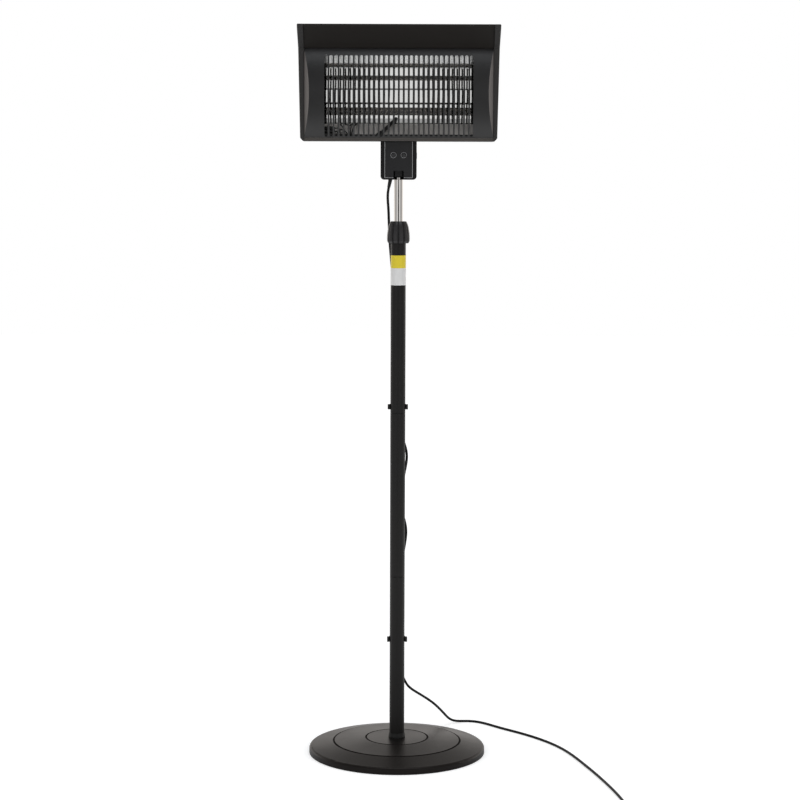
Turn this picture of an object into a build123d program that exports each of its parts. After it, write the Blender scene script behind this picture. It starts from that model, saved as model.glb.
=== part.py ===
from build123d import *
from math import cos, pi, radians, sin, sqrt, tan
import os

# Free-standing infrared patio heater: a weighted round base, a three-piece pole, a telescopic inner tube
# held by a twist-lock collar, and a wide two-lamp heater head that tilts on a neck box.
# Millimetres, +Z up, the head faces -Y, the origin is on the floor at the centre of the base.

# ---------------------------------------------------------------- driving dimensions
BASE_R = 225.0              # outer radius of the round base
BASE_RIM_Z = 18.6           # where the rim turns into the dome
BASE_STEP_Z = 30.6          # dome height at the outer groove
BASE_TOP_Z = 38.4           # flat middle of the dome
GROOVE_R = (162.0, 79.0)    # the two decorative ring grooves
FOOT_H = 3.0                # rubber ring under the base
COVER_T = 1.5               # steel of the base cover

POLE_R = 19.0
POLE_T = 1.5
POLE_BORE_R = POLE_R - POLE_T
SEAM_Z = (458.0, 877.0)     # joints between the three pole sections
POLE_TOP_Z = 1306.0
COUPLER_HALF = 30.0

TUBE_R = 11.0               # telescopic inner tube
TUBE_T = 1.2
TUBE_BORE_R = TUBE_R - TUBE_T
TUBE_Z = (1030.0, 1471.0)
RUN_FIT = 0.05              # radial clearance of sliding and turning fits

COLLAR_Z = (1306.4, 1361.0)
COLLAR_RIBS = 12

CLIP_Z = (893.0, 294.5)     # upper and lower cable clip
CLIP_H = 13.0

PIVOT_Z = 1525.0            # tilt axis, along X through the neck box
NECK_W, NECK_D = 90.0, 60.0
NECK_Z = 1465.0
NECK_T = 2.5

HEAD_Z = 1560.0             # underside of the head
HEAD_HALF_W = 235.0         # half width between the end caps
CAP_HALF_W = (244.2, 250.0)  # outer half width of the end caps, at the bottom and at the top
HEAD_TOP_Z = 1844.0         # tip of the visor
HEAD_FRONT_Y = -45.0        # plane of the grille's rim
HEAD_BACK_Y = 60.0
LIP_Y = -97.0
SHEET_T = 1.2

GRILLE_Z = (1569.0, 1788.0)
GRILLE_RISE = 26.0          # how far the grille bulges forward
GRILLE_END = 13.5           # width of its slanted ends, seen from the front
SLOTS = 30
SLOT_PITCH = 12.4
SLOT_W = 7.8
SLOT_Z = (1571.5, 1771.0)

LAMP_Y = 5.0
LAMP_Z = (1631.0, 1718.0)
LAMP_R = 5.5
LAMP_HALF = 190.0

CORD_D = 6.5
CORD_R = CORD_D / 2
CORD_BACK_Y = 24.75         # the cord's distance from the pole's axis where a clip holds it
FLOOR_Z = CORD_R + 0.1
ARC_SHARE = 0.45            # share of the shorter run that each bend takes

COIL_R = 43.0
COIL_STEP = 7.1             # from one turn to the next, and from one layer to the next
COIL_LAYER_TURNS = 2.389

os.makedirs("parts", exist_ok=True)


def save(piece, name):
    """Name a finished piece and write it."""
    piece.part.label = name
    export_step(piece.part, f"parts/{name}.step")


# ================================================================= base
# Rubber ring that the whole heater stands on.
with BuildPart() as foot_ring:
    with BuildSketch(Plane.XZ):
        with BuildLine():
            Polyline((197, 0), (217, 0), (219, FOOT_H), (195, FOOT_H), close=True)
        make_face()
    revolve(axis=Axis.Z)
save(foot_ring, "foot_ring")

# Flat steel plate under the weight.
PLATE_T = 2.0
PLATE_TOP_Z = FOOT_H + PLATE_T
BOLT_WELL_R = 12.0          # counterbore in the underside for the clamping bolt
with BuildPart() as base_plate:
    with BuildSketch(Plane.XY.offset(FOOT_H)):
        Circle(BASE_R - 4)
        Circle(BOLT_WELL_R + 1, mode=Mode.SUBTRACT)
    extrude(amount=PLATE_T)
save(base_plate, "base_plate")

# Cast weight with a counterbore for the clamping bolt.
SOCKET_Z = 34.5             # top of the weight, where the pole's socket stands
BOLT_SEAT_Z = 13.0
WEIGHT_R = BASE_R - 17
with BuildPart() as base_weight:
    with BuildSketch(Plane.XZ):
        with BuildLine():
            Polyline(
                (BOLT_WELL_R, PLATE_TOP_Z), (WEIGHT_R, PLATE_TOP_Z), (WEIGHT_R, 14), (158, 27), (78, 34),
                (60, SOCKET_Z), (5.5, SOCKET_Z), (5.5, BOLT_SEAT_Z), (BOLT_WELL_R, BOLT_SEAT_Z), close=True,
            )
        make_face()
    revolve(axis=Axis.Z)
save(base_weight, "base_weight")

# Spun steel cover: upright rim, rounded edge, shallow dome with two ring grooves.
GROOVE_HALF, GROOVE_DEPTH = 1.6, 1.1
RIM_ROUND = 7.0
with BuildPart() as base_cover:
    outer_slope = (BASE_STEP_Z - BASE_RIM_Z) / (BASE_R - RIM_ROUND - GROOVE_R[0])
    inner_slope = (BASE_TOP_Z - BASE_STEP_Z - 0.4) / (GROOVE_R[0] - GROOVE_R[1])
    shoulder = (BASE_R - RIM_ROUND, BASE_RIM_Z)
    outer_edge = (GROOVE_R[0] + GROOVE_HALF, BASE_STEP_Z - GROOVE_HALF * outer_slope)
    outer_deep = (GROOVE_R[0], BASE_STEP_Z - GROOVE_DEPTH)
    step_edge = (GROOVE_R[0] - GROOVE_HALF, BASE_STEP_Z + 0.6)
    middle_edge = (GROOVE_R[1] + GROOVE_HALF, BASE_TOP_Z - GROOVE_HALF * inner_slope)
    middle_deep = (GROOVE_R[1], BASE_TOP_Z - GROOVE_DEPTH)
    centre_edge = (GROOVE_R[1] - GROOVE_HALF, BASE_TOP_Z)
    rim_arc_mid = (BASE_R - RIM_ROUND * (1 - cos(pi / 4)), BASE_RIM_Z - RIM_ROUND * (1 - sin(pi / 4)))
    with BuildSketch(Plane.XZ):
        with BuildLine():
            Line((BASE_R, 1), (BASE_R, BASE_RIM_Z - RIM_ROUND))
            ThreePointArc((BASE_R, BASE_RIM_Z - RIM_ROUND), rim_arc_mid, shoulder)
            Polyline(
                shoulder, outer_edge, outer_deep, step_edge,
                middle_edge, middle_deep, centre_edge, (POLE_BORE_R + 0.1, BASE_TOP_Z),
            )
            Polyline(
                (POLE_BORE_R + 0.1, BASE_TOP_Z), (POLE_BORE_R + 0.1, BASE_TOP_Z - COVER_T),
                (GROOVE_R[1] - 4, BASE_TOP_Z - COVER_T), (GROOVE_R[0], BASE_STEP_Z - 2.2),
                (BASE_R - RIM_ROUND, BASE_RIM_Z - COVER_T), (BASE_R - COVER_T, BASE_RIM_Z - RIM_ROUND),
                (BASE_R - COVER_T, 1), (BASE_R, 1),
            )
        make_face()
    revolve(axis=Axis.Z)
save(base_cover, "base_cover")

# Flanged socket that the lowest pole section stands over.
SOCKET_H = 60.0
SOCKET_FLOOR_T = 7.5
CLAMP_BOLT_R = 5.0
CLAMP_HOLE_R = CLAMP_BOLT_R + 0.3
with BuildPart() as pole_socket:
    with BuildSketch(Plane.XY.offset(SOCKET_Z)):
        Circle(45)
    extrude(amount=BASE_TOP_Z - COVER_T - SOCKET_Z)
    with BuildSketch(Plane.XY.offset(SOCKET_Z)):
        Circle(POLE_BORE_R)
    extrude(amount=SOCKET_H)
    with BuildSketch(Plane.XY.offset(SOCKET_Z + SOCKET_FLOOR_T)):
        Circle(POLE_BORE_R - 3)
    extrude(amount=SOCKET_H, mode=Mode.SUBTRACT)
    with BuildSketch(Plane.XY.offset(SOCKET_Z)):
        Circle(CLAMP_HOLE_R)
    extrude(amount=SOCKET_FLOOR_T, mode=Mode.SUBTRACT)
save(pole_socket, "pole_socket")

# Bolt from below, with its washer and the nut inside the socket.
HEX_ACROSS_CORNERS_R = 9.8
WASHER_T = 1.6
HEX_HEAD_H = 6.4
with BuildPart() as base_bolt:
    with BuildSketch(Plane.XY.offset(BOLT_SEAT_Z - WASHER_T - HEX_HEAD_H)):
        RegularPolygon(radius=HEX_ACROSS_CORNERS_R, side_count=6)
    extrude(amount=HEX_HEAD_H)
    with BuildSketch(Plane.XY.offset(BOLT_SEAT_Z - WASHER_T)):
        Circle(CLAMP_BOLT_R)
    extrude(amount=43)
    chamfer(base_bolt.edges().sort_by(Axis.Z)[-1], length=1)
save(base_bolt, "base_bolt")

with BuildPart() as base_washer:
    with BuildSketch(Plane.XY.offset(BOLT_SEAT_Z - WASHER_T)):
        Circle(BOLT_WELL_R - 0.5)
        Circle(CLAMP_HOLE_R, mode=Mode.SUBTRACT)
    extrude(amount=WASHER_T)
save(base_washer, "base_washer")

with BuildPart() as base_nut:
    with BuildSketch(Plane.XY.offset(SOCKET_Z + SOCKET_FLOOR_T)):
        RegularPolygon(radius=HEX_ACROSS_CORNERS_R, side_count=6)
        Circle(CLAMP_BOLT_R, mode=Mode.SUBTRACT)
    extrude(amount=8)
save(base_nut, "base_nut")

# ================================================================= pole
# Three tubes end to end; the small chamfers at the seams show as dark lines.
SEAM_CHAMFER = 0.7
SECTION_Z = (BASE_TOP_Z, SEAM_Z[0], SEAM_Z[1], POLE_TOP_Z)
for section_name, bottom_z, top_z in zip(
    ("lower_pole", "middle_pole", "upper_pole"), SECTION_Z[:-1], SECTION_Z[1:]
):
    with BuildPart() as pole_section:
        with BuildSketch(Plane.XZ):
            with BuildLine():
                Polyline(
                    (POLE_BORE_R, bottom_z), (POLE_R - SEAM_CHAMFER, bottom_z),
                    (POLE_R, bottom_z + SEAM_CHAMFER), (POLE_R, top_z - SEAM_CHAMFER),
                    (POLE_R - SEAM_CHAMFER, top_z), (POLE_BORE_R, top_z), close=True,
                )
            make_face()
        revolve(axis=Axis.Z)
    save(pole_section, section_name)

# Sleeves inside the seams.
for coupler_name, seam_z in zip(("lower_coupler", "upper_coupler"), SEAM_Z):
    with BuildPart() as coupler:
        with BuildSketch(Plane.XY.offset(seam_z - COUPLER_HALF)):
            Circle(POLE_BORE_R)
            Circle(POLE_BORE_R - 3, mode=Mode.SUBTRACT)
        extrude(amount=2 * COUPLER_HALF)
        chamfer(coupler.edges().filter_by(GeomType.CIRCLE).group_by(Axis.Z)[0], length=1)
        chamfer(coupler.edges().filter_by(GeomType.CIRCLE).group_by(Axis.Z)[-1], length=1)
    save(coupler, coupler_name)

# Trim ring at the foot of the pole.
with BuildPart() as pole_ring:
    with BuildSketch(Plane.XZ):
        with BuildLine():
            Polyline(
                (POLE_R, BASE_TOP_Z), (POLE_R + 2.4, BASE_TOP_Z), (POLE_R + 2.4, BASE_TOP_Z + 3),
                (POLE_R + 0.8, BASE_TOP_Z + 12), (POLE_R, BASE_TOP_Z + 12), close=True,
            )
        make_face()
    revolve(axis=Axis.Z)
save(pole_ring, "pole_ring")

# Snap-on clips: an arm round each side of the pole with a rolled end, and a split loop for the cord.
CLIP_BAND_R = 21.3
CLIP_BEAD_R = 3.3
CORD_LOOP_R = 5.5
for clip_name, clip_z in zip(("upper_cable_clip", "lower_cable_clip"), CLIP_Z):
    with BuildPart() as cable_clip:
        with BuildSketch(Plane.XY.offset(clip_z - CLIP_H / 2)):
            Circle(CLIP_BAND_R)
            with Locations((0, -CLIP_BAND_R)):
                Rectangle(3 * CLIP_BAND_R, 2 * CLIP_BAND_R - 6, mode=Mode.SUBTRACT)
            with Locations((CLIP_BAND_R + 1.2, -2.5), (-CLIP_BAND_R - 1.2, -2.5)):
                Circle(CLIP_BEAD_R)
            with Locations((0, CORD_BACK_Y)):
                Circle(CORD_LOOP_R)
                Circle(CORD_R + 0.1, mode=Mode.SUBTRACT)
            with Locations((0, CORD_BACK_Y + CORD_LOOP_R)):
                Rectangle(4.2, CORD_LOOP_R, mode=Mode.SUBTRACT)
            Circle(POLE_R, mode=Mode.SUBTRACT)
        extrude(amount=CLIP_H)
    save(cable_clip, clip_name)

# Bush in the top of the pole: a sleeve inside, a split collet above for the collar to squeeze.
BUSH_R = 18.6
BUSH_TOP_Z = 1350.0
with BuildPart() as guide_bush:
    with BuildSketch(Plane.XZ):
        with BuildLine():
            Polyline(
                (TUBE_R + RUN_FIT, POLE_TOP_Z - 30), (POLE_BORE_R, POLE_TOP_Z - 30),
                (POLE_BORE_R, POLE_TOP_Z), (BUSH_R, POLE_TOP_Z), (BUSH_R, BUSH_TOP_Z - 12),
                (BUSH_R - 2.6, BUSH_TOP_Z), (TUBE_R + RUN_FIT, BUSH_TOP_Z), close=True,
            )
        make_face()
    revolve(axis=Axis.Z)
    with BuildSketch(Plane.XY.offset(BUSH_TOP_Z - 30)):
        Rectangle(3 * BUSH_R, 2.0)
        Rectangle(2.0, 3 * BUSH_R)
    extrude(amount=40, mode=Mode.SUBTRACT)
save(guide_bush, "guide_bush")

# Twist-lock collar: widest near its foot, rounded shoulders, straight finger grooves all round.
RIB_LEAN = 3.6
with BuildPart() as lock_collar:
    with BuildSketch(Plane.XZ):
        with BuildLine():
            Polyline(
                (11.6, COLLAR_Z[1]), (11.6, COLLAR_Z[1] - 7), (BUSH_R + 0.3, COLLAR_Z[1] - 7),
                (BUSH_R + 0.3, COLLAR_Z[0]), (25.4, COLLAR_Z[0]), (28.3, COLLAR_Z[0] + 5.5),
            )
            ThreePointArc((28.3, COLLAR_Z[0] + 5.5), (28.5, 1322), (26.4, 1341))
            ThreePointArc((26.4, 1341), (24.0, 1352), (19.5, COLLAR_Z[1]))
            Line((19.5, COLLAR_Z[1]), (11.6, COLLAR_Z[1]))
        make_face()
    revolve(axis=Axis.Z)
    with Locations((0, 0, 1330)):
        with PolarLocations(29.3, COLLAR_RIBS):
            Cylinder(radius=1.9, height=90, rotation=(0, -RIB_LEAN, 0), mode=Mode.SUBTRACT)
save(lock_collar, "lock_collar")

# ================================================================= telescopic tube
TUBE_TOP_CHAMFER = 0.7
with BuildPart() as inner_tube:
    with BuildSketch(Plane.XY.offset(TUBE_Z[0])):
        Circle(TUBE_R)
        Circle(TUBE_BORE_R, mode=Mode.SUBTRACT)
    extrude(amount=TUBE_Z[1] - TUBE_Z[0])
    top_edges = inner_tube.edges().filter_by(GeomType.CIRCLE).group_by(Axis.Z)[-1]
    chamfer(top_edges.sort_by(SortBy.RADIUS)[-1], length=TUBE_TOP_CHAMFER)
save(inner_tube, "inner_tube")

# Nylon foot that keeps the tube's lower end centred in the pole and stops it at the bush.
with BuildPart() as foot_plug:
    with BuildSketch(Plane.XY.offset(TUBE_Z[0] - 11)):
        Circle(POLE_BORE_R - 0.1)
    extrude(amount=11)
    chamfer(foot_plug.edges().sort_by(Axis.Z)[0], length=1.5)
    with BuildSketch(Plane.XY.offset(TUBE_Z[0])):
        Circle(TUBE_BORE_R - RUN_FIT)
    extrude(amount=22)
save(foot_plug, "foot_plug")

# Lug pressed into the top of the tube: a turned plug and shoulder, a flat-sided neck, and the eye that
# the tilt bolt passes through.
LUG_HALF_W = 9.3
LUG_HALF_D = 8.0
LUG_NECK_HALF_D = 6.8
LUG_PLUG = 40.0
LUG_SHOULDER = 2.4
BOLT_R = 4.0
with BuildPart() as tilt_lug:
    with BuildSketch(Plane.XY.offset(TUBE_Z[1] - LUG_PLUG)):
        Circle(TUBE_BORE_R)
    extrude(amount=LUG_PLUG)
    with BuildSketch(Plane.XY.offset(TUBE_Z[1])):
        Circle(TUBE_R - TUBE_TOP_CHAMFER)
    extrude(amount=LUG_SHOULDER)
    chamfer(tilt_lug.faces().sort_by(Axis.Z)[-1].edges(), length=0.5)
    with BuildSketch(Plane.YZ):
        with Locations((0, PIVOT_Z)):
            Circle(LUG_HALF_D)
        with BuildLine():
            Polyline(
                (-LUG_HALF_D, TUBE_Z[1] + 1), (LUG_HALF_D, TUBE_Z[1] + 1), (LUG_NECK_HALF_D, TUBE_Z[1] + 12),
                (LUG_NECK_HALF_D, PIVOT_Z), (-LUG_NECK_HALF_D, PIVOT_Z), (-LUG_NECK_HALF_D, TUBE_Z[1] + 12),
                close=True,
            )
        make_face()
    extrude(amount=LUG_HALF_W, both=True)
    with BuildSketch(Plane.YZ):
        with Locations((0, PIVOT_Z)):
            Circle(BOLT_R + RUN_FIT)
    extrude(amount=2 * LUG_HALF_W, both=True, mode=Mode.SUBTRACT)
save(tilt_lug, "tilt_lug")

# ================================================================= neck box
NECK_FRONT_Y = -NECK_D / 2
NECK_MID_Z = (NECK_Z + HEAD_Z) / 2
NECK_H = HEAD_Z - NECK_Z
WINDOW_HALF_W = 35.0        # opening of the shell's front that the cover fills
WINDOW_Z = NECK_Z + 3.5
NOTCH_HALF_W = 12.6         # clearance for the inner tube when the head leans forward
NOTCH_TOP_Z = 1487.0
TUBE_SLOT_BACK_Y = 23.0
GLAND_X, GLAND_Y = -20.6, 14.0
BOLT_HEAD_R = 8.0
NECK_CORNER_R = 9.0
COVER_SCREWS = ((-12.8, PIVOT_Z + 1), (12.8, PIVOT_Z + 1))

with BuildPart() as neck_shell:
    with BuildSketch(Plane.XZ.offset(-NECK_FRONT_Y)):
        with Locations((0, NECK_MID_Z)):
            outline = Rectangle(NECK_W, NECK_H)
        fillet(outline.vertices().group_by(Axis.Z)[0], radius=NECK_CORNER_R)
    extrude(amount=-NECK_D)
    with BuildSketch(Plane.XZ.offset(-NECK_FRONT_Y - NECK_T)):
        with Locations((0, NECK_MID_Z + NECK_T / 2)):
            hollow = Rectangle(NECK_W - 2 * NECK_T, NECK_H - NECK_T)
        fillet(hollow.vertices().group_by(Axis.Z)[0], radius=NECK_CORNER_R - NECK_T)
    extrude(amount=-(NECK_D - 2 * NECK_T), mode=Mode.SUBTRACT)
    with BuildSketch(Plane.XZ.offset(-NECK_FRONT_Y)):
        with Locations((0, (WINDOW_Z + HEAD_Z) / 2)):
            Rectangle(2 * WINDOW_HALF_W, HEAD_Z - WINDOW_Z)
    extrude(amount=-NECK_T, mode=Mode.SUBTRACT)
    with BuildSketch(Plane.XY.offset(NECK_Z)):
        with Locations((0, (NECK_FRONT_Y + TUBE_SLOT_BACK_Y) / 2)):
            Rectangle(2 * NOTCH_HALF_W, TUBE_SLOT_BACK_Y - NECK_FRONT_Y)
        with Locations((GLAND_X, GLAND_Y)):
            Circle(5.5)
    extrude(amount=3.5, mode=Mode.SUBTRACT)
    with BuildSketch(Plane.YZ.offset(NECK_W / 2 - NECK_T)):
        with Locations((0, PIVOT_Z)):
            Circle(BOLT_HEAD_R + 0.3)
    extrude(amount=NECK_T, mode=Mode.SUBTRACT)
save(neck_shell, "neck_shell")

# Inset front cover: a plate in the window and a wider flange behind it, notched over the tube.
with BuildPart() as neck_cover:
    with BuildSketch(Plane.XZ.offset(-NECK_FRONT_Y - 1.0)):
        with Locations((0, (WINDOW_Z + HEAD_Z) / 2)):
            Rectangle(2 * WINDOW_HALF_W - 0.6, HEAD_Z - WINDOW_Z - 0.6)
    extrude(amount=-1.5)
    chamfer(neck_cover.faces().sort_by(Axis.Y)[0].edges(), length=0.8)
    with BuildSketch(Plane.XZ.offset(-NECK_FRONT_Y - NECK_T)):
        with Locations((0, (WINDOW_Z + HEAD_Z) / 2)):
            Rectangle(2 * WINDOW_HALF_W + 4, HEAD_Z - WINDOW_Z - 1.6)
    extrude(amount=-2)
    with BuildSketch(Plane.XZ.offset(-NECK_FRONT_Y - NECK_T)):
        with Locations((0, WINDOW_Z)):
            Rectangle(2 * NOTCH_HALF_W + 4, 2 * (NOTCH_TOP_Z + 8 - WINDOW_Z))
    extrude(amount=-2, mode=Mode.SUBTRACT)
    with BuildSketch(Plane.XZ.offset(-NECK_FRONT_Y)):
        with Locations((0, (WINDOW_Z + NOTCH_TOP_Z) / 2)):
            Rectangle(2 * NOTCH_HALF_W, NOTCH_TOP_Z - WINDOW_Z)
        with Locations(*COVER_SCREWS):
            Circle(2.3)
    extrude(amount=-8, mode=Mode.SUBTRACT)
    with BuildSketch(Plane.XZ.offset(-NECK_FRONT_Y)):
        with Locations(*COVER_SCREWS):
            Circle(7)
    extrude(amount=-2.4, mode=Mode.SUBTRACT)
save(neck_cover, "neck_cover")

# The two round-headed screws of the cover, side by side over the tube.
with BuildPart() as cover_screws:
    with BuildSketch(Plane.XZ.offset(-NECK_FRONT_Y - 0.6)):
        with Locations(*COVER_SCREWS):
            Circle(4.6)
    extrude(amount=-1.8)
    chamfer(cover_screws.faces().group_by(Axis.Y)[0].edges(), length=0.9)
    with BuildSketch(Plane.XZ.offset(-NECK_FRONT_Y - 2.4)):
        with Locations(*COVER_SCREWS):
            Circle(2.2)
    extrude(amount=-10.6)
save(cover_screws, "cover_screws")

# Steel bracket under the head: a top flange, a web behind the cover, and two ears beside the lug.
BRACKET_T = 3.0
BRACKET_HALF_W = 22.0
BRACKET_SCREWS = ((-17.5, 8), (17.5, 8))
BRACKET_SCREW_R = 2.1
EAR_X = LUG_HALF_W + 0.2
WEB_Y = -20.0
with BuildPart() as tilt_bracket:
    with BuildSketch(Plane.XY.offset(HEAD_Z - BRACKET_T)):
        Rectangle(2 * BRACKET_HALF_W, -2 * WEB_Y)
    extrude(amount=BRACKET_T)
    with BuildSketch(Plane.XZ.offset(-WEB_Y)):
        with Locations((0, (PIVOT_Z - 7 + HEAD_Z) / 2)):
            Rectangle(2 * BRACKET_HALF_W, HEAD_Z - PIVOT_Z + 7)
    extrude(amount=-BRACKET_T)
    for ear_x in (EAR_X, -EAR_X - BRACKET_T):
        with BuildSketch(Plane.YZ.offset(ear_x)):
            with Locations((0, PIVOT_Z)):
                Circle(11)
            with Locations(((WEB_Y + 12) / 2, (PIVOT_Z + HEAD_Z) / 2)):
                Rectangle(12 - WEB_Y, HEAD_Z - PIVOT_Z)
        extrude(amount=BRACKET_T)
    with BuildSketch(Plane.YZ.offset(-BRACKET_HALF_W)):
        with Locations((0, PIVOT_Z)):
            Circle(BOLT_R)
    extrude(amount=2 * BRACKET_HALF_W, mode=Mode.SUBTRACT)
    with BuildSketch(Plane.XZ.offset(-WEB_Y)):
        with Locations(*COVER_SCREWS):
            Circle(2.2)
    extrude(amount=-BRACKET_T, mode=Mode.SUBTRACT)
    with BuildSketch(Plane.XY.offset(HEAD_Z - BRACKET_T)):
        with Locations(*BRACKET_SCREWS):
            Circle(BRACKET_SCREW_R)
    extrude(amount=BRACKET_T, mode=Mode.SUBTRACT)
save(tilt_bracket, "tilt_bracket")

with BuildPart() as bracket_screws:
    with BuildSketch(Plane.XY.offset(HEAD_Z - BRACKET_T - 2.4)):
        with Locations(*BRACKET_SCREWS):
            Circle(3.8)
    extrude(amount=2.4)
    with BuildSketch(Plane.XY.offset(HEAD_Z - BRACKET_T)):
        with Locations(*BRACKET_SCREWS):
            Circle(BRACKET_SCREW_R)
    extrude(amount=8)
save(bracket_screws, "bracket_screws")

# Tilt bolt: its socket head fills the hole in the right side of the shell.
with BuildPart() as tilt_bolt:
    with BuildSketch(Plane.YZ.offset(-21)):
        with Locations((0, PIVOT_Z)):
            Circle(BOLT_R)
    extrude(amount=64)
    with BuildSketch(Plane.YZ.offset(43)):
        with Locations((0, PIVOT_Z)):
            Circle(BOLT_HEAD_R)
    extrude(amount=2.7)
    chamfer(tilt_bolt.faces().sort_by(Axis.X)[-1].edges(), length=0.6)
    with BuildSketch(Plane.YZ.offset(45.7)):
        with Locations((0, PIVOT_Z)):
            RegularPolygon(radius=3.4, side_count=6)
    extrude(amount=-2, mode=Mode.SUBTRACT)
save(tilt_bolt, "tilt_bolt")

with BuildPart() as tilt_nut:
    with BuildSketch(Plane.YZ.offset(-EAR_X - BRACKET_T)):
        with Locations((0, PIVOT_Z)):
            RegularPolygon(radius=7.5, side_count=6)
            Circle(BOLT_R, mode=Mode.SUBTRACT)
    extrude(amount=-6.5)
save(tilt_nut, "tilt_nut")

# Cable gland: a flange inside the box and a taper outside that points the way the cord hangs.
GLAND_WAY = Vector(-0.2, 0.12, -0.97).normalized()
GLAND_START = Vector(GLAND_X, GLAND_Y, NECK_Z)
GLAND_LENGTH = 20.0
GLAND_TIP = GLAND_START + GLAND_WAY * GLAND_LENGTH
CORD_LEAVES = GLAND_TIP + GLAND_WAY * 12
with BuildPart() as cable_gland:
    with BuildSketch(Plane.XY.offset(NECK_Z - 0.8)):
        with Locations((GLAND_X, GLAND_Y)):
            Circle(5.5)
    extrude(amount=NECK_T + 0.8)
    with BuildSketch(Plane.XY.offset(NECK_Z + NECK_T)):
        with Locations((GLAND_X, GLAND_Y)):
            Circle(7.4)
    extrude(amount=3)
    with BuildSketch(Plane(origin=GLAND_START, z_dir=GLAND_WAY)):
        Circle(5.0)
    with BuildSketch(Plane(origin=GLAND_TIP, z_dir=GLAND_WAY)):
        Circle(3.9)
    loft()
save(cable_gland, "cable_gland")

# ================================================================= head
# The roof line runs straight from the back edge up to the tip of the visor.
ROOF_BACK = (52.0, 1780.0)
ROOF_SLOPE = (HEAD_TOP_Z - ROOF_BACK[1]) / (LIP_Y - ROOF_BACK[0])
roof_over_rim_z = ROOF_BACK[1] + ROOF_SLOPE * (HEAD_FRONT_Y - ROOF_BACK[0])
BELLY_Y = 32.0              # where the flat underside turns up towards the back
BELLY_Z = 1592.0
BACK_TOP_Z = 1768.0
COOLING_ROWS_Z = (1735.0, 1642.0)
COOLING_PITCH, COOLING_COUNT = 28.0, 14
SCREW_R = 2.1

# Folded steel rear housing with a row of cooling slots.
with BuildPart() as rear_housing:
    with BuildSketch(Plane.YZ):
        with BuildLine():
            Polyline(
                (HEAD_FRONT_Y, GRILLE_Z[0] - 0.3), (HEAD_FRONT_Y, HEAD_Z), (BELLY_Y, HEAD_Z),
                (HEAD_BACK_Y, BELLY_Z), (HEAD_BACK_Y, BACK_TOP_Z), ROOF_BACK,
                (HEAD_FRONT_Y, roof_over_rim_z),
            )
            offset(amount=SHEET_T, side=Side.LEFT, kind=Kind.INTERSECTION)
        make_face()
    extrude(amount=HEAD_HALF_W, both=True)
    with BuildSketch(Plane.XZ.offset(-HEAD_BACK_Y)):
        with Locations(*[(0, row_z) for row_z in COOLING_ROWS_Z]):
            with GridLocations(COOLING_PITCH, 0, COOLING_COUNT, 1):
                SlotOverall(34, 4.5, rotation=90)
    extrude(amount=2 * SHEET_T, both=True, mode=Mode.SUBTRACT)
    with BuildSketch(Plane.XY.offset(HEAD_Z)):
        with Locations(*BRACKET_SCREWS):
            Circle(BRACKET_SCREW_R)
    extrude(amount=SHEET_T, mode=Mode.SUBTRACT)
save(rear_housing, "rear_housing")

# Visor: one folded sheet, its underside rising forward to the lip and its top falling back to the roof.
VISOR_LAP = 0.4             # how far its lower edge laps over the grille's rim
with BuildPart() as visor:
    with BuildSketch(Plane.YZ):
        with BuildLine():
            Polyline(
                (HEAD_FRONT_Y - 1, GRILLE_Z[1] - VISOR_LAP), (LIP_Y + 1, HEAD_TOP_Z - 5.5),
                (LIP_Y, HEAD_TOP_Z), (HEAD_FRONT_Y, roof_over_rim_z),
            )
            offset(amount=SHEET_T, side=Side.RIGHT, kind=Kind.INTERSECTION)
        make_face()
    extrude(amount=HEAD_HALF_W, both=True)
save(visor, "visor")

# End caps: the side of the head in one moulding, wider at the top, with the visor's cheek in front.
CAP_T = 16.0
CAP_WALL = 5.0
CAP_POCKET = 5.0
SEAT_DEPTH = 2.4            # how far the screw heads sit below the cap's face
CAP_CHAMFER = 7.0
cap_lean = (CAP_HALF_W[1] - CAP_HALF_W[0]) / (HEAD_TOP_Z - HEAD_Z)
CAP_SCREWS = ((40.0, 1612.0), (40.0, 1748.0), (-32.0, 1582.0), (-56.0, 1811.0))
with BuildPart() as end_cap_right:
    with BuildSketch(Plane.YZ.offset(HEAD_HALF_W)) as cap_outline:
        with BuildLine():
            Polyline(
                (HEAD_FRONT_Y - 4, HEAD_Z), (HEAD_FRONT_Y - 4, GRILLE_Z[1] - 1),
                (LIP_Y - 1, HEAD_TOP_Z - 10), (LIP_Y - 1, HEAD_TOP_Z - 1.2), (LIP_Y + 0.4, HEAD_TOP_Z),
                ROOF_BACK, (HEAD_BACK_Y + 1, BACK_TOP_Z), (HEAD_BACK_Y + 1, BELLY_Z),
                (BELLY_Y + 0.6, HEAD_Z), close=True,
            )
        make_face()
    extrude(amount=CAP_T)
    with BuildSketch(Plane.YZ.offset(HEAD_HALF_W)):
        add(cap_outline.sketch)
        offset(amount=-CAP_WALL)
    extrude(amount=CAP_POCKET, mode=Mode.SUBTRACT)
    split(bisect_by=Plane(origin=(CAP_HALF_W[0], 0, HEAD_Z), z_dir=(1, 0, -cap_lean)), keep=Keep.BOTTOM)
    split(
        bisect_by=Plane(origin=(CAP_HALF_W[0], 0, HEAD_Z + CAP_CHAMFER), z_dir=(1, 0, -1)),
        keep=Keep.BOTTOM,
    )
    chamfer(end_cap_right.faces().sort_by(Axis.X)[-1].edges(), length=1.6)
    with BuildSketch(Plane.YZ.offset(HEAD_HALF_W)):
        with Locations(*CAP_SCREWS):
            Circle(SCREW_R)
    extrude(amount=CAP_T, mode=Mode.SUBTRACT)
    for screw_y, screw_z in CAP_SCREWS:
        with BuildSketch(Plane.YZ.offset(CAP_HALF_W[0] + cap_lean * (screw_z - HEAD_Z) - SEAT_DEPTH)):
            with Locations((screw_y, screw_z)):
                Circle(4.8)
        extrude(amount=8, mode=Mode.SUBTRACT)
save(end_cap_right, "end_cap_right")

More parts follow.
